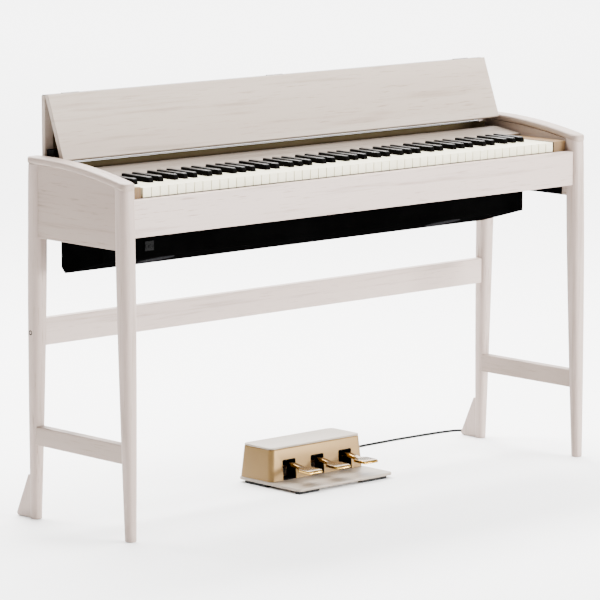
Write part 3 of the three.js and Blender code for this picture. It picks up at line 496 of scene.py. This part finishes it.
def smooth_path(points, steps=10):
    """Centripetal Catmull-Rom curve: each span blends three straight mixes of its four nearest points."""
    pts = np.array(points, float)
    pts = np.vstack([2 * pts[0] - pts[1], pts, 2 * pts[-1] - pts[-2]])
    out = []
    for i in range(1, len(pts) - 2):
        p = pts[i - 1:i + 3]
        t = np.concatenate([[0], np.cumsum(np.sqrt(np.linalg.norm(np.diff(p, axis=0), axis=1)))])
        for s in np.linspace(t[1], t[2], steps, endpoint=False):
            a = [between(s, t[k], t[k + 1], p[k], p[k + 1]) for k in range(3)]
            b = [between(s, t[k], t[k + 2], a[k], a[k + 1]) for k in range(2)]
            out.append(between(s, t[1], t[2], b[0], b[1]))
    out.append(pts[-2])
    return np.array(out)


cord_path = smooth_path(route)
curve = bpy.data.curves.new("pedal_cord_jacket", "CURVE")
curve.dimensions = "3D"
curve.bevel_depth = 0.0025
curve.bevel_resolution = 4
spline = curve.splines.new("POLY")
spline.points.add(len(cord_path) - 1)
spline.points.foreach_set("co", np.hstack([cord_path / MM, np.ones((len(cord_path), 1))]).ravel())
curve.materials.append(RUBBER)
cord_piece = bpy.data.objects.new("pedal_cord_jacket", curve)
bpy.context.scene.collection.objects.link(cord_piece)
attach(cord_piece, "stand")
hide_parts("pedal_cord")

plug_length = PLUG_HIGH[1] - PLUG_LOW[1]
# Radius and distance along the plug: two grip grooves, then a taper to the cord.
plug_profile = [
    (0.4, 0), (5.2, 0), (6, 0.8), (6, 8), (5.6, 8.4), (5.6, 9.4), (6, 9.8), (6, 12), (5.6, 12.4), (5.6, 13.4),
    (6, 13.8), (6, 15.6), (4.6, 19), (3.7, 23), (3.4, plug_length), (0.4, plug_length)]
plug_turned = lathe(plug_profile, "y", (plug_x, PLUG_LOW[1], plug_z))
plug_piece = add_piece("pedal_plug_body", *plug_turned, "stand", RUBBER, "cord", hides=("pedal_plug",),
                       sharp=50)
# The strain relief narrows in four ribs.
grommet_length = GROMMET_HIGH[1] - GROMMET_LOW[1]
grommet_profile = [(0.4, 0), (5.5, 0), (5.5, 18), (5.1, 20)]
for k in range(4):
    less, along = 0.4 * k, 2.2 * k
    grommet_profile += [(5.0 - less, 20.6 + along), (4.5 - less, 21.2 + along), (4.5 - less, 22.0 + along)]
grommet_profile += [(3.4, grommet_length), (0.4, grommet_length)]
grommet_turned = lathe(grommet_profile, "y", (cord_x, GROMMET_LOW[1], cord_z))
add_piece("cord_strain_relief", *grommet_turned, "stand", RUBBER, "cord", hides=("cord_grommet",), sharp=50)

# Clips hold the rising cord to the rear leg.
clips = []
for x, y, z in ((684.8, 166.6, 110), (685.6, 166.4, 300), (686.9, 164.4, 480)):
    section = round_rect(5.5, 5.5, 2.5, 4) + [x - 1.5, y - 2 + STAND_Y]
    clips.append(prism(section, "z", z - 4, z + 4))
add_piece("cord_clips", *merge(*clips), "stand", BLACK, "black_plastic", bevel=0.6)

# ------------------------------------------------------------------ legs
# The arm's top is level behind ARM_FLAT_Y and falls along a circle in front of it.
ARM_RADIUS, ARM_THICK, ARM_FLAT_Y = 1307.0, 15.0, 130 + STAND_Y
CREST = box("arm_right")[1][2]
GAP = 0.3


def arm_line(y, drop):
    """Height of the arm's curve at y, lowered along its radius by drop."""
    run = np.minimum(np.asarray(y, float) - ARM_FLAT_Y, 0)
    return CREST - ARM_RADIUS + np.sqrt((ARM_RADIUS - drop) ** 2 - run ** 2)


# Half widths at the foot, at the widest height and at the arm; the foot's centre and its lean to the top.
FOOT_HALF, WIDE_HALF, TOP_HALF, WIDE_Z = 10.95, 18.5, 18.0, 560.5
FOOT_X, FOOT_Y, LEAN_X, LEAN_Y = 672.5, 156.0, 2.0, 15.5
ARM_JOIN = 0.8


def leg_half(z):
    """Half width of a leg: swells quickly from the foot, then narrows a touch towards the arm."""
    lower, upper = min(z / WIDE_Z, 1.0), max((z - WIDE_Z) / (CREST - WIDE_Z), 0.0)
    return FOOT_HALF + (WIDE_HALF - FOOT_HALF) * (1 - (1 - lower) ** 1.5) - (WIDE_HALF - TOP_HALF) * upper


def leg_shape(sign_x, sign_y):
    """Rings of |x|^p + |y|^p = 1 whose centre leans inwards with height, up to the arm's underside."""
    foot = np.array([sign_x * FOOT_X, sign_y * FOOT_Y + STAND_Y])
    lean = np.array([-sign_x * LEAN_X, -sign_y * LEAN_Y])
    angle = np.arange(64) * 2 * math.pi / 64
    power = 2.8
    unit = (np.abs(np.cos(angle)) ** power + np.abs(np.sin(angle)) ** power) ** (-1 / power)
    rings = []
    rounded_foot = [(0, 2.2), (0.0004, 1.2), (0.0012, 0.45), (0.0028, 0.0)]
    for share, inset in rounded_foot + [(t, 0) for t in np.linspace(0.02, 1, 40)]:
        z = share * CREST
        centre = foot + lean * min(z / CREST, 1)
        reach = (leg_half(z) - inset) * unit
        x, y = centre[0] + reach * np.cos(angle), centre[1] + reach * np.sin(angle)
        height = np.full(64, z)
        if share >= ARM_JOIN:
            top = arm_line(y, ARM_THICK + GAP)
            blend = (share - ARM_JOIN) / 0.2
            height = (1 - blend) * z + blend * top if share < 1 else top
        rings.append(np.stack([x, y, height], axis=1))
    return loft(rings)


for leg, sx, sy in (("leg_front_left", -1, -1), ("leg_front_right", 1, -1), ("leg_rear_left", -1, 1),
                    ("leg_rear_right", 1, 1)):
    add_piece(leg + "_turned", *leg_shape(sx, sy), "stand", WOOD_Z, "whitewashed_wood", hides=(leg,),
              sharp=50)


# ------------------------------------------------------------------ arms, panels, stretchers, rails
def arm_shape(node):
    """Rounded rectangles along Y under the arm's curve, whose width narrows as a circle at both ends."""
    low, high = box(node)
    middle, half = (low[0] + high[0]) / 2, (high[0] - low[0]) / 2
    corner = 13.0
    inner = np.linspace(low[1] + corner, high[1] - corner, 40)
    ends = corner * (1 - np.cos(np.linspace(0.12, math.pi / 2, 9)))
    stations = np.concatenate([low[1] + ends, inner[1:-1], (high[1] - ends)[::-1]])
    rings = []
    for y in stations:
        reach = min(y - low[1], high[1] - y, corner)
        width = half - corner + math.sqrt(max(corner ** 2 - (corner - reach) ** 2, 0))
        top, bottom = float(arm_line(y, 0)), float(arm_line(y, ARM_THICK))
        squeeze = 1.6 * (1 - min(reach / 4.0, 1.0)) ** 2
        section = round_rect(width, (top - bottom) / 2 - squeeze, 5.0, 6)
        rings.append(np.stack([middle + section[:, 0], np.full(len(section), y),
                               (top + bottom) / 2 + section[:, 1]], axis=1)[::-1])
    return loft(rings)


def under_arm(node):
    """Side outline whose upper edge runs along the arm's underside, swept through the board's thickness."""
    low, high = box(node)
    ys = np.linspace(low[1] - 6, high[1] + 6, 25)
    outline = [(ys[0], low[2]), (ys[-1], low[2])]
    outline += [(y, float(arm_line(y, ARM_THICK + GAP))) for y in ys[::-1]]
    return prism(outline, "x", low[0], high[0])


# The arms, side panels, cheeks and stretchers take the side copy of the wash, darkened as painted shade.
for side in ("left", "right"):
    add_piece(f"arm_{side}_bowed", *arm_shape(f"arm_{side}"), "stand", WOOD_Y_SHADED, "whitewashed_wood",
              hides=(f"arm_{side}",), sharp=60)
    for kind in ("side_panel", "cheek"):
        add_piece(f"{kind}_{side}_board", *under_arm(f"{kind}_{side}"), "stand", WOOD_Y_SHADED, "whitewashed_wood",
                  hides=(f"{kind}_{side}",), bevel=1.2)
    low, high = box(f"side_stretcher_{side}")
    add_piece(f"side_stretcher_{side}_bar", *brick(low + [0, 1, 0], high - [0, 1, 0]), "stand", WOOD_Y_SHADED,
              "whitewashed_wood", hides=(f"side_stretcher_{side}",), bevel=3.5, segments=3)
    low, high = box(f"tail_fin_{side}")
    fin = [(low[1] - 6, low[2]), (high[1] - 16, low[2]), (high[1] - 3, low[2]), (high[1], low[2] + 5),
           (low[1] + 8, high[2]), (low[1] - 6, high[2])]
    blade = prism(fin, "x", low[0], high[0])
    add_piece(f"tail_fin_{side}_blade", *blade, "stand", WOOD_Z, "whitewashed_wood",
              hides=(f"tail_fin_{side}",), bevel=2.0, segments=3)

for node, radius in (("front_rail", 2.0), ("rear_cross_rail", 2.5)):
    low, high = box(node)
    add_piece(node + "_board", *brick(low, high), "stand", WOOD_X, "whitewashed_wood", hides=(node,),
              bevel=radius, segments=3)

# Bolts that draw the cross rail's ends to the rear legs, sunk in the outer faces.
RAIL_LOW, RAIL_HIGH = box("rear_cross_rail")
bolt_y, bolt_z = (RAIL_LOW[1] + RAIL_HIGH[1]) / 2, (RAIL_LOW[2] + RAIL_HIGH[2]) / 2
bolt_face = FOOT_X - LEAN_X * bolt_z / CREST + leg_half(bolt_z)
for side, sign in (("left", -1), ("right", 1)):
    centre = (sign * bolt_face, bolt_y, bolt_z)
    ring = [(3.0, -1.5), (5.2, -1.5), (5.2, 0.25), (4.8, 0.5), (3.4, 0.5), (3.0, 0.2), (3.0, -1.5)]
    hexagon = [(2.9, -3.0), (2.9, -0.6), (2.0, -0.4)]
    rim = lathe([(r, sign * d) for r, d in ring], "x", centre)
    socket = lathe([(r, sign * d) for r, d in hexagon], "x", centre, 6)
    add_piece(f"rail_bolt_{side}", *merge(rim, socket), "stand", BLACK, "black_plastic", sharp=40)

# ------------------------------------------------------------------ case pieces
FASCIA_LOW, FASCIA_HIGH = box("fascia")
KEY_LOW, KEY_HIGH = box("key_c")
KEY_TOP = KEY_HIGH[2]
KEYS_END = 611.0
# The panel's side outline: a low front edge, a rising face, and a flat top at the back.
lip = [(FASCIA_LOW[1], FASCIA_LOW[2]), (FASCIA_LOW[1] + 6, FASCIA_LOW[2]),
       (FASCIA_HIGH[1], FASCIA_HIGH[2] - 6), (FASCIA_HIGH[1], FASCIA_HIGH[2]),
       (FASCIA_HIGH[1] - 7, FASCIA_HIGH[2]), (FASCIA_LOW[1], KEY_TOP + 6.5)]
# The control panel takes the fascia copy, darkened as painted shadow from the lid.
add_piece("control_panel", *prism(lip, "x", FASCIA_LOW[0], FASCIA_HIGH[0]), "stand", WOOD_FASCIA_SHADOWED,
          "whitewashed_wood", hides=("fascia",), bevel=1.8, segments=3)
# The back board takes the same darkened copy, painted shadow in the well.
paint("back_board", WOOD_FASCIA_SHADOWED)
for side in ("left", "right"):
    low, high = box(f"end_block_{side}")
    outline = [(low[1], low[2]), (high[1], low[2]), (high[1], high[2]), (low[1], high[2])]
    add_piece(f"end_block_{side}_cap", *prism(outline, "x", low[0], high[0]), "stand", TAN, "end_block",
              hides=(f"end_block_{side}",), bevel=2.5, segments=3)

# A black stop closes the gap between the highest key and its block.
block_low, block_high = box("end_block_right")
stop = brick((KEYS_END + 0.6, block_low[1] - 1.4, KEY_LOW[2]),
             (block_low[0] - 0.1, block_high[1], block_high[2] - 1.0))
add_piece("key_stop_right", *stop, "stand", BLACK, "black_plastic", bevel=0.4)

# ------------------------------------------------------------------ keys
# HEAD is how far a white key's wide front part reaches back.
PITCH, WHITES, HALF_GAP, HEAD = 23.5, 52, 0.65, 52.0
RIDGE = 91.0
FRONT, REAR, BOTTOM = KEY_LOW[1], KEY_HIGH[1], KEY_LOW[2]
KEYS_LEFT = box("keys_low")[0][0] - HALF_GAP
LETTERS = "CDEFGAB"
NO_SHARP_AFTER = "EB"


def letter_of(n):
    """Letter of white key n, counting from the lowest, which is an A."""
    return LETTERS[(n + 5) % 7]


def place_of(letter):
    """Place of a letter in its group of white keys, C D E or F G A B."""
    return LETTERS.index(letter) - (0 if letter in "CDE" else 3)


def slot_edge(n, s):
    """Left edge of tail slot s in key n's group, whose whole width is shared by 5 or 7 equal slots."""
    letter = letter_of(n)
    width = (3 * PITCH / 5) if letter in "CDE" else (4 * PITCH / 7)
    return KEYS_LEFT + (n - place_of(letter)) * PITCH + s * width


def white_shape(n):
    """Key outline seen from above, wide in front and narrow between the black keys, raised to its height."""
    place = place_of(letter_of(n))
    left = KEYS_LEFT + n * PITCH + HALF_GAP
    right = left + PITCH - 2 * HALF_GAP
    tail_left = left if n == 0 else max(slot_edge(n, place * 2) + HALF_GAP, left)
    tail_right = right if n == WHITES - 1 else min(slot_edge(n, place * 2 + 1) - HALF_GAP, right)
    turn = FRONT + HEAD
    corners = [(left, FRONT), (right, FRONT), (right, turn), (tail_right, turn), (tail_right, REAR),
               (tail_left, REAR), (tail_left, turn), (left, turn)]
    clean = [c for i, c in enumerate(corners) if i == 0 or math.dist(c, corners[i - 1]) > 0.05]
    return prism(clean, "z", BOTTOM, KEY_TOP)


def black_shape(n):
    """Body in its slot and a ridge whose sides lean in and whose front slopes back."""
    place = place_of(letter_of(n))
    left = slot_edge(n, place * 2 + 1) + HALF_GAP
    right = slot_edge(n, place * 2 + 2) - HALF_GAP
    middle, half = (left + right) / 2, (right - left) / 2
    front = FRONT + HEAD + 1.0
    levels = [(BOTTOM, half, front), (KEY_TOP - 0.5, half, front), (KEY_TOP + 4, half - 0.35, front + 0.7),
              (KEY_TOP + 9.2, half - 0.9, front + 2.6), (KEY_TOP + 11.2, half - 1.4, front + 4.6),
              (KEY_TOP + 12.0, half - 2.2, front + 7.0)]
    rings = []
    for z, reach, start in levels:
        end = front + RIDGE if z > KEY_TOP else REAR
        section = round_rect(reach, (end - start) / 2, 1.2, 3)
        rings.append(np.stack([middle + section[:, 0], (start + end) / 2 + section[:, 1],
                               np.full(len(section), z)], axis=1))
    return loft(rings)


# The middle octave's white keys, counted from the lowest.
MOVING = range(23, 30)
white_groups, black_groups = {"low": [], "high": []}, {"low": [], "high": []}
for n in range(WHITES):
    letter = letter_of(n)
    has_black = letter not in NO_SHARP_AFTER and n < WHITES - 1
    if n in MOVING:
        node = f"key_{letter.lower()}"
        add_piece(node + "_cover", *white_shape(n), node, IVORY, "white_key", hides=(node,), bevel=0.9,
                  segments=3)
        if has_black:
            add_piece(node + "_sharp_cover", *black_shape(n), node + "_sharp", EBONY, "black_key",
                      hides=(node + "_sharp",), sharp=30)
    else:
        group = "low" if n < MOVING.start else "high"
        white_groups[group].append(white_shape(n))
        if has_black:
            black_groups[group].append(black_shape(n))
for group in ("low", "high"):
    add_piece(f"white_keys_{group}", *merge(*white_groups[group]), "stand", IVORY, "white_key",
              hides=(f"keys_{group}",), bevel=0.9, segments=3)
    add_piece(f"black_keys_{group}", *merge(*black_groups[group]), "stand", EBONY, "black_key",
              hides=(f"sharps_{group}",), sharp=30)
paint("key_frame", BLACK)

# ------------------------------------------------------------------ lid
low, high = box("lid_rear_panel")
# The lid boards take the lid copy of the wash, darkened as painted shade.
add_piece("lid_rear_board", *brick(low, high), "lid_rear", WOOD_LID_SHADED, "whitewashed_wood",
          hides=("lid_rear_panel",), bevel=1.5, segments=3)
FOLD = pivot("lid_fold")
front_low, front_high = box("lid_front_panel")
half_lid = front_high[0]
LID_THICK = 11.0
# The panel leans at the first tenth of a degree that brings its lowest outer corner as far forward as the
# CAD panel's, and its length follows from the height of that corner.
reach_y, reach_z = FOLD[1] - front_low[1], FOLD[2] - front_low[2]
corner_away = math.hypot(reach_y, reach_z)
fold_angle = next(angle for angle in (math.radians(step * 0.1) for step in range(1, 900))
                  if LID_THICK * math.cos(angle) + corner_away * math.sin(angle) >= reach_y)
panel_length = (reach_z + 0.3 * math.sin(fold_angle)) / math.cos(fold_angle)
verts, faces = brick((-half_lid, FOLD[1] - LID_THICK, FOLD[2] - panel_length),
                     (half_lid, FOLD[1] - 0.3, FOLD[2] - 2.2))
add_piece("lid_front_board", turn_x(verts, -fold_angle, (FOLD[1], FOLD[2])), faces, "lid_front", WOOD_LID_SHADED,
          "whitewashed_wood", hides=("lid_front_panel",), bevel=1.5, segments=3)
paint("fold_hinge", STEEL)
paint("case_hinge", STEEL)
# A brown sheet over the back of the well behind the fascia, where the folded lid drops in, and over the back
# board's top edge, is painted shade.
BACK_LOW, BACK_HIGH = box("back_board")
face = brick((-half_lid, BACK_LOW[1] - 0.5, KEY_TOP - 6), (half_lid, BACK_LOW[1] + 0.1, BACK_HIGH[2] + 0.2))
shade_brim = brick((-half_lid, BACK_LOW[1] + 0.1, BACK_HIGH[2] - 0.1),
             (half_lid, BACK_HIGH[1] - 0.5, BACK_HIGH[2] + 0.2))
add_piece("well_lining", *merge(face, shade_brim), "stand", WELL_SHADE, "end_block")
# A brown sheet on the lower front of the lid's rear panel is painted shade under the front panel's edge.
REAR_LOW = box("lid_rear_panel")[0]
SHADE_SET_IN, SHADE_HIGH = 22, 75
rear_shade_sheet = brick((SHADE_SET_IN - half_lid, REAR_LOW[1] - 0.2, REAR_LOW[2] + 1),
               (half_lid - SHADE_SET_IN, REAR_LOW[1] + 0.1, REAR_LOW[2] + SHADE_HIGH))
add_piece("lid_rear_lining", *rear_shade_sheet, "lid_rear", WELL_SHADE, "end_block")
for side in ("left", "right"):
    low, high = box(f"lid_damper_{side}")
    add_piece(f"lid_damper_{side}_cover", *brick(low, high), "lid_rear", BLACK, "black_plastic",
              hides=(f"lid_damper_{side}",), bevel=2.0, segments=3)

# ------------------------------------------------------------------ speaker box and tray
for node, finish in (("speaker_box", LAMINATE), ("key_tray", LAMINATE), ("speaker_left", PAPER),
                     ("speaker_right", PAPER), ("main_board", CIRCUIT), ("headphone_jacks", BLACK),
                     ("pedal_socket", BLACK), ("pedal_axle", STEEL)):
    paint(node, finish)
JACK_LOW, JACK_HIGH = box("headphone_jacks")
jack_x, jack_z = (JACK_LOW[0] + JACK_HIGH[0]) / 2, (JACK_LOW[2] + JACK_HIGH[2]) / 2
bushing = [(3.35, 2.5), (3.35, -0.6), (3.9, -0.9), (4.8, -0.9), (5.0, -0.5), (5.0, 0.1), (3.4, 0.2)]
bushings = [lathe(bushing, "y", (jack_x + dx, JACK_LOW[1], jack_z)) for dx in (-6, 6)]
add_piece("jack_bushings", *merge(*bushings), "stand", BLACK, "black_plastic", sharp=40)

# Cloth discs close the two speaker openings flush with the sloping underside.
UNDERSIDE_SLOPE = math.atan2(35.0, 125.0)
OPENING_Y, OPENING_Z = 43.5 + STAND_Y, 546.5
for side in ("left", "right"):
    low, high = box(f"speaker_{side}")
    centre = ((low[0] + high[0]) / 2, OPENING_Y, OPENING_Z)
    angle = np.arange(48) * 2 * math.pi / 48
    rings = []
    for radius, drop in ((41.6, 4.0), (41.6, 0.6), (40.6, -0.2), (30.0, -0.2), (15.0, -0.2), (0.5, -0.2)):
        rings.append(np.stack([radius * np.cos(angle), -radius * np.sin(angle), np.full(48, drop)], axis=1))
    verts, faces = loft(rings)
    disc = turn_x(verts, -UNDERSIDE_SLOPE, (0.0, 0.0)) + centre
    add_piece(f"speaker_{side}_cloth", disc, faces, "stand", CLOTH, "speaker", sharp=60)

# ------------------------------------------------------------------ pedal unit
HOUSE_LOW, HOUSE_HIGH = box("pedal_housing")
unit_x = (UNIT_LOW[0] + UNIT_HIGH[0]) / 2
plate_half = (UNIT_HIGH[0] - UNIT_LOW[0]) / 2
plate_mid = (UNIT_LOW[1] + UNIT_HIGH[1]) / 2
PAD_TOP = 6.0
TAPER = 5.5
plate_outline = round_rect(plate_half, (UNIT_HIGH[1] - UNIT_LOW[1]) / 2, 12, 8) + [unit_x, plate_mid]
add_piece("pedal_base_board", *prism(plate_outline, "z", PAD_TOP, UNIT_HIGH[2]), "stand", BOARD,
          "pedal_board", hides=("pedal_plate",), bevel=1.8, segments=3)
# Left, right, front and rear of each pad.
pad_boxes = [
    (UNIT_LOW[0] + 1.5, UNIT_LOW[0] + 15.5, 63 + STAND_Y, 136 + STAND_Y),
    (UNIT_HIGH[0] - 15.5, UNIT_HIGH[0] - 1.5, 63 + STAND_Y, 136 + STAND_Y),
    (UNIT_LOW[0] + 2, UNIT_LOW[0] + 62, UNIT_LOW[1] + 1.5, UNIT_LOW[1] + 15.5),
    (UNIT_HIGH[0] - 96, UNIT_HIGH[0] - 20, UNIT_LOW[1] + 1.5, UNIT_LOW[1] + 15.5)]
pads = [brick((x0, y0, 0.0), (x1, y1, PAD_TOP + 0.2)) for x0, x1, y0, y1 in pad_boxes]
add_piece("pedal_base_pads", *merge(*pads), "stand", RUBBER, "cord", hides=("pedal_plate",), bevel=0.8)


def housing_rings(inset, levels):
    """Rounded rectangles that shrink evenly with height."""
    half_x = (HOUSE_HIGH[0] - HOUSE_LOW[0]) / 2
    half_y = (HOUSE_HIGH[1] - HOUSE_LOW[1]) / 2
    centre = [unit_x, (HOUSE_LOW[1] + HOUSE_HIGH[1]) / 2]
    rings = []
    for z, extra in levels:
        shrink = (z - HOUSE_LOW[2]) / (HOUSE_HIGH[2] - HOUSE_LOW[2]) * TAPER + inset + extra
        section = round_rect(half_x - shrink, half_y - shrink, max(12.0 - inset - extra, 3.0), 8) + centre
        rings.append(np.column_stack([section, np.full(len(section), z)]))
    return rings


house_top = HOUSE_HIGH[2]
shell_levels = [(HOUSE_LOW[2], 0.6), (HOUSE_LOW[2] + 0.6, 0.0), (house_top - 3, 0.0), (house_top - 1, 0.5),
                (house_top, 1.6)]
shell = add_piece("pedal_housing_shell", *loft(housing_rings(0, shell_levels)), "stand", CHAMPAGNE,
                  "champagne_metal", hides=("pedal_housing",), sharp=50)


def cutter(name, shape):
    """A shape that a boolean takes away."""
    mesh = bpy.data.meshes.new(name)
    mesh.from_pydata((np.asarray(shape[0]) / MM).tolist(), [], [list(map(int, f)) for f in shape[1]])
    made = bpy.data.objects.new(name, mesh)
    bpy.context.scene.collection.objects.link(made)
    return made


PEDAL_X = [pivot(f"pedal_{label}_pivot")[0] for label in ("left", "middle", "right")]
cuts = [cutter("hollow", loft(housing_rings(3.0, [(HOUSE_LOW[2] - 1, 0), (house_top - 3.0, 0)])))]
for x in PEDAL_X:
    window = round_rect(20, 23.5, 3.5, 5) + [x, HOUSE_LOW[2] + 22.5]
    outline = [(z, px) for px, z in window]
    cuts.append(cutter("window", prism(outline, "y", HOUSE_LOW[1] - 20, HOUSE_LOW[1] + 20)))
for made in cuts:
    carve = shell.modifiers.new("carve", "BOOLEAN")
    carve.operation = "DIFFERENCE"
    carve.object = made
    carve.solver = "EXACT"
bpy.context.view_layer.update()
carved = bpy.data.meshes.new_from_object(shell.evaluated_get(bpy.context.evaluated_depsgraph_get()))
carved.set_sharp_from_angle(angle=math.radians(40))
shell.modifiers.clear()
shell.data = carved
for made in cuts:
    bpy.data.objects.remove(made)

# Black liners behind the windows hide the hollow, each with a slot of darkness around its pedal.
for label, x in zip(("left", "middle", "right"), PEDAL_X):
    outer = round_rect(19.6, 23.0, 3.2, 5) + [x, HOUSE_LOW[2] + 22.7]
    inner = round_rect(18.0, 21.4, 2.4, 5) + [x, HOUSE_LOW[2] + 22.7]
    start, end = HOUSE_LOW[1] + 0.2, HOUSE_LOW[1] + 30
    rings = []
    for section, y in ((outer, end), (outer, start + 3.0), (inner, start + 3.0), (inner, end)):
        rings.append(np.stack([section[:, 0], np.full(len(section), y), section[:, 1]], axis=1))
    verts, faces = loft(rings)
    add_piece(f"pedal_window_{label}_liner", verts, faces[:-2], "stand", BLACK, "black_plastic", sharp=40)

TOP_LOW, TOP_HIGH = box("pedal_housing_top")
top_rings = []
top_half_x, top_half_y = (TOP_HIGH[0] - TOP_LOW[0]) / 2, (TOP_HIGH[1] - TOP_LOW[1]) / 2
for z, inset in ((TOP_LOW[2], 0.8), (TOP_LOW[2] + 0.6, 0.1), (TOP_HIGH[2] - 1.6, 0.1),
                 (TOP_HIGH[2] - 0.5, 0.6), (TOP_HIGH[2], 1.8)):
    section = round_rect(top_half_x - inset, top_half_y - inset, 11, 8)
    section = section + [unit_x, (TOP_LOW[1] + TOP_HIGH[1]) / 2]
    top_rings.append(np.column_stack([section, np.full(len(section), z)]))
add_piece("pedal_housing_lid", *loft(top_rings), "stand", BOARD, "pedal_board", hides=("pedal_housing_top",),
          sharp=50)


def pedal_shape(x, tip, axle):
    """Rounded sections from the tip to the axle: a broad flat foot, a narrow shank and a thick tail."""
    stations = [
        # distance behind the tip, half width, half thickness, middle height above the tip's middle
        (0.0, 17.5, 0.7, -2.4), (0.5, 19.6, 1.7, -1.9), (1.8, 21.2, 2.6, -1.1), (4.0, 22.2, 3.2, -0.4),
        (8.0, 22.5, 3.5, 0.0), (20.0, 22.5, 3.5, 0.3), (34.0, 22.5, 3.5, 0.6), (37.5, 21.6, 3.5, 0.8),
        (39.5, 18.0, 3.5, 0.9), (41.5, 12.5, 3.6, 1.0), (44.5, 9.0, 3.8, 1.3), (50.0, 7.4, 4.0, 2.0),
        (60.0, 7.0, 4.3, 4.0), (76.0, 7.0, 4.4, 6.4), (100.0, 6.8, 4.2, 6.2), (125.0, 6.8, 4.6, 4.4),
        (148.0, 7.0, 6.0, 0.5), (axle[1] - tip[1], 7.0, 7.8, axle[2] - tip[2]),
        (axle[1] - tip[1] + 11.0, 7.0, 7.6, axle[2] - tip[2])]
    rings = []
    for back, half, thick, rise in stations:
        section = round_rect(half, thick, min(2.2, thick * 0.9), 4)
        rings.append(np.stack([x + section[:, 0], np.full(len(section), tip[1] + back),
                               tip[2] + rise + section[:, 1]], axis=1)[::-1])
    return loft(rings)


for label in ("left", "middle", "right"):
    low, high = box(f"pedal_{label}")
    axle = pivot(f"pedal_{label}_pivot")
    tip = np.array([axle[0], low[1], 42.0])
    node = f"pedal_{label}"
    lever = pedal_shape(axle[0], tip, axle)
    piece = add_piece(node + "_lever", *lever, node, BRASS, "brass", hides=(node,), sharp=50)
    smooth = piece.modifiers.new("smooth", "SUBSURF")
    smooth.levels = smooth.render_levels = 1


# ------------------------------------------------------------------ floor and light
def stage_plane(name, z, reach, colour):
    """A flat square on the ground, in metres."""
    mesh = bpy.data.meshes.new(name)
    mesh.from_pydata([(-reach, -reach, z), (reach, -reach, z), (reach, reach, z), (-reach, reach, z)], [],
                     [(0, 1, 2, 3)])
    finish = bpy.data.materials.new(name)
    finish.use_nodes = True
    bsdf = finish.node_tree.nodes["Principled BSDF"]
    bsdf.inputs["Base Color"].default_value = (*colour, 1)
    bsdf.inputs["Roughness"].default_value = 0.9
    mesh.materials.append(finish)
    made = bpy.data.objects.new(name, mesh)
    bpy.context.scene.collection.objects.link(made)


stage_plane("floor", 0.0, 30.0, (0.97, 0.97, 0.97))

world = bpy.data.worlds.new("studio")
world.use_nodes = True
sky = world.node_tree
sky.nodes["Background"].inputs["Color"].default_value = (1.0, 0.985, 0.965, 1)
direction = add_node(sky, "ShaderNodeTexCoord").outputs["Generated"]
facing = add_node(sky, "ShaderNodeVectorMath", {0: direction, 1: (0.86, 0.34, 0.38)}, operation="DOT_PRODUCT")
strength = ramp(sky, facing.outputs["Value"], -0.75, 0.7, 0.05, 1.7)
sky.links.new(strength, sky.nodes["Background"].inputs["Strength"])
bpy.context.scene.world = world


def area_light(name, place, target, size, power, colour=(1, 1, 1)):
    """A rectangular lamp at place that faces target."""
    data = bpy.data.lights.new(name, "AREA")
    data.shape = "RECTANGLE"
    data.size, data.size_y = size
    data.energy = power
    data.color = colour
    light = bpy.data.objects.new(name, data)
    light.location = place
    light.rotation_euler = (Vector(target) - Vector(place)).to_track_quat("-Z", "Y").to_euler()
    bpy.context.scene.collection.objects.link(light)


area_light("front_light", (3.2, -4.8, 1.1), (0, 0, 0.5), (2.0, 1.2), 640, (1.0, 0.985, 0.965))
area_light("top_light", (0.2, 2.0, 3.6), (0, 0.1, 0.7), (3.6, 1.0), 520, (1.0, 0.99, 0.98))
area_light("floor_light", (2.6, -1.2, 7.5), (1.6, -1.2, 0), (6.0, 7.0), 1900)
area_light("backdrop_light", (9.0, 10.0, 7.0), (9.0, 10.0, 0), (16.0, 14.0), 6500)
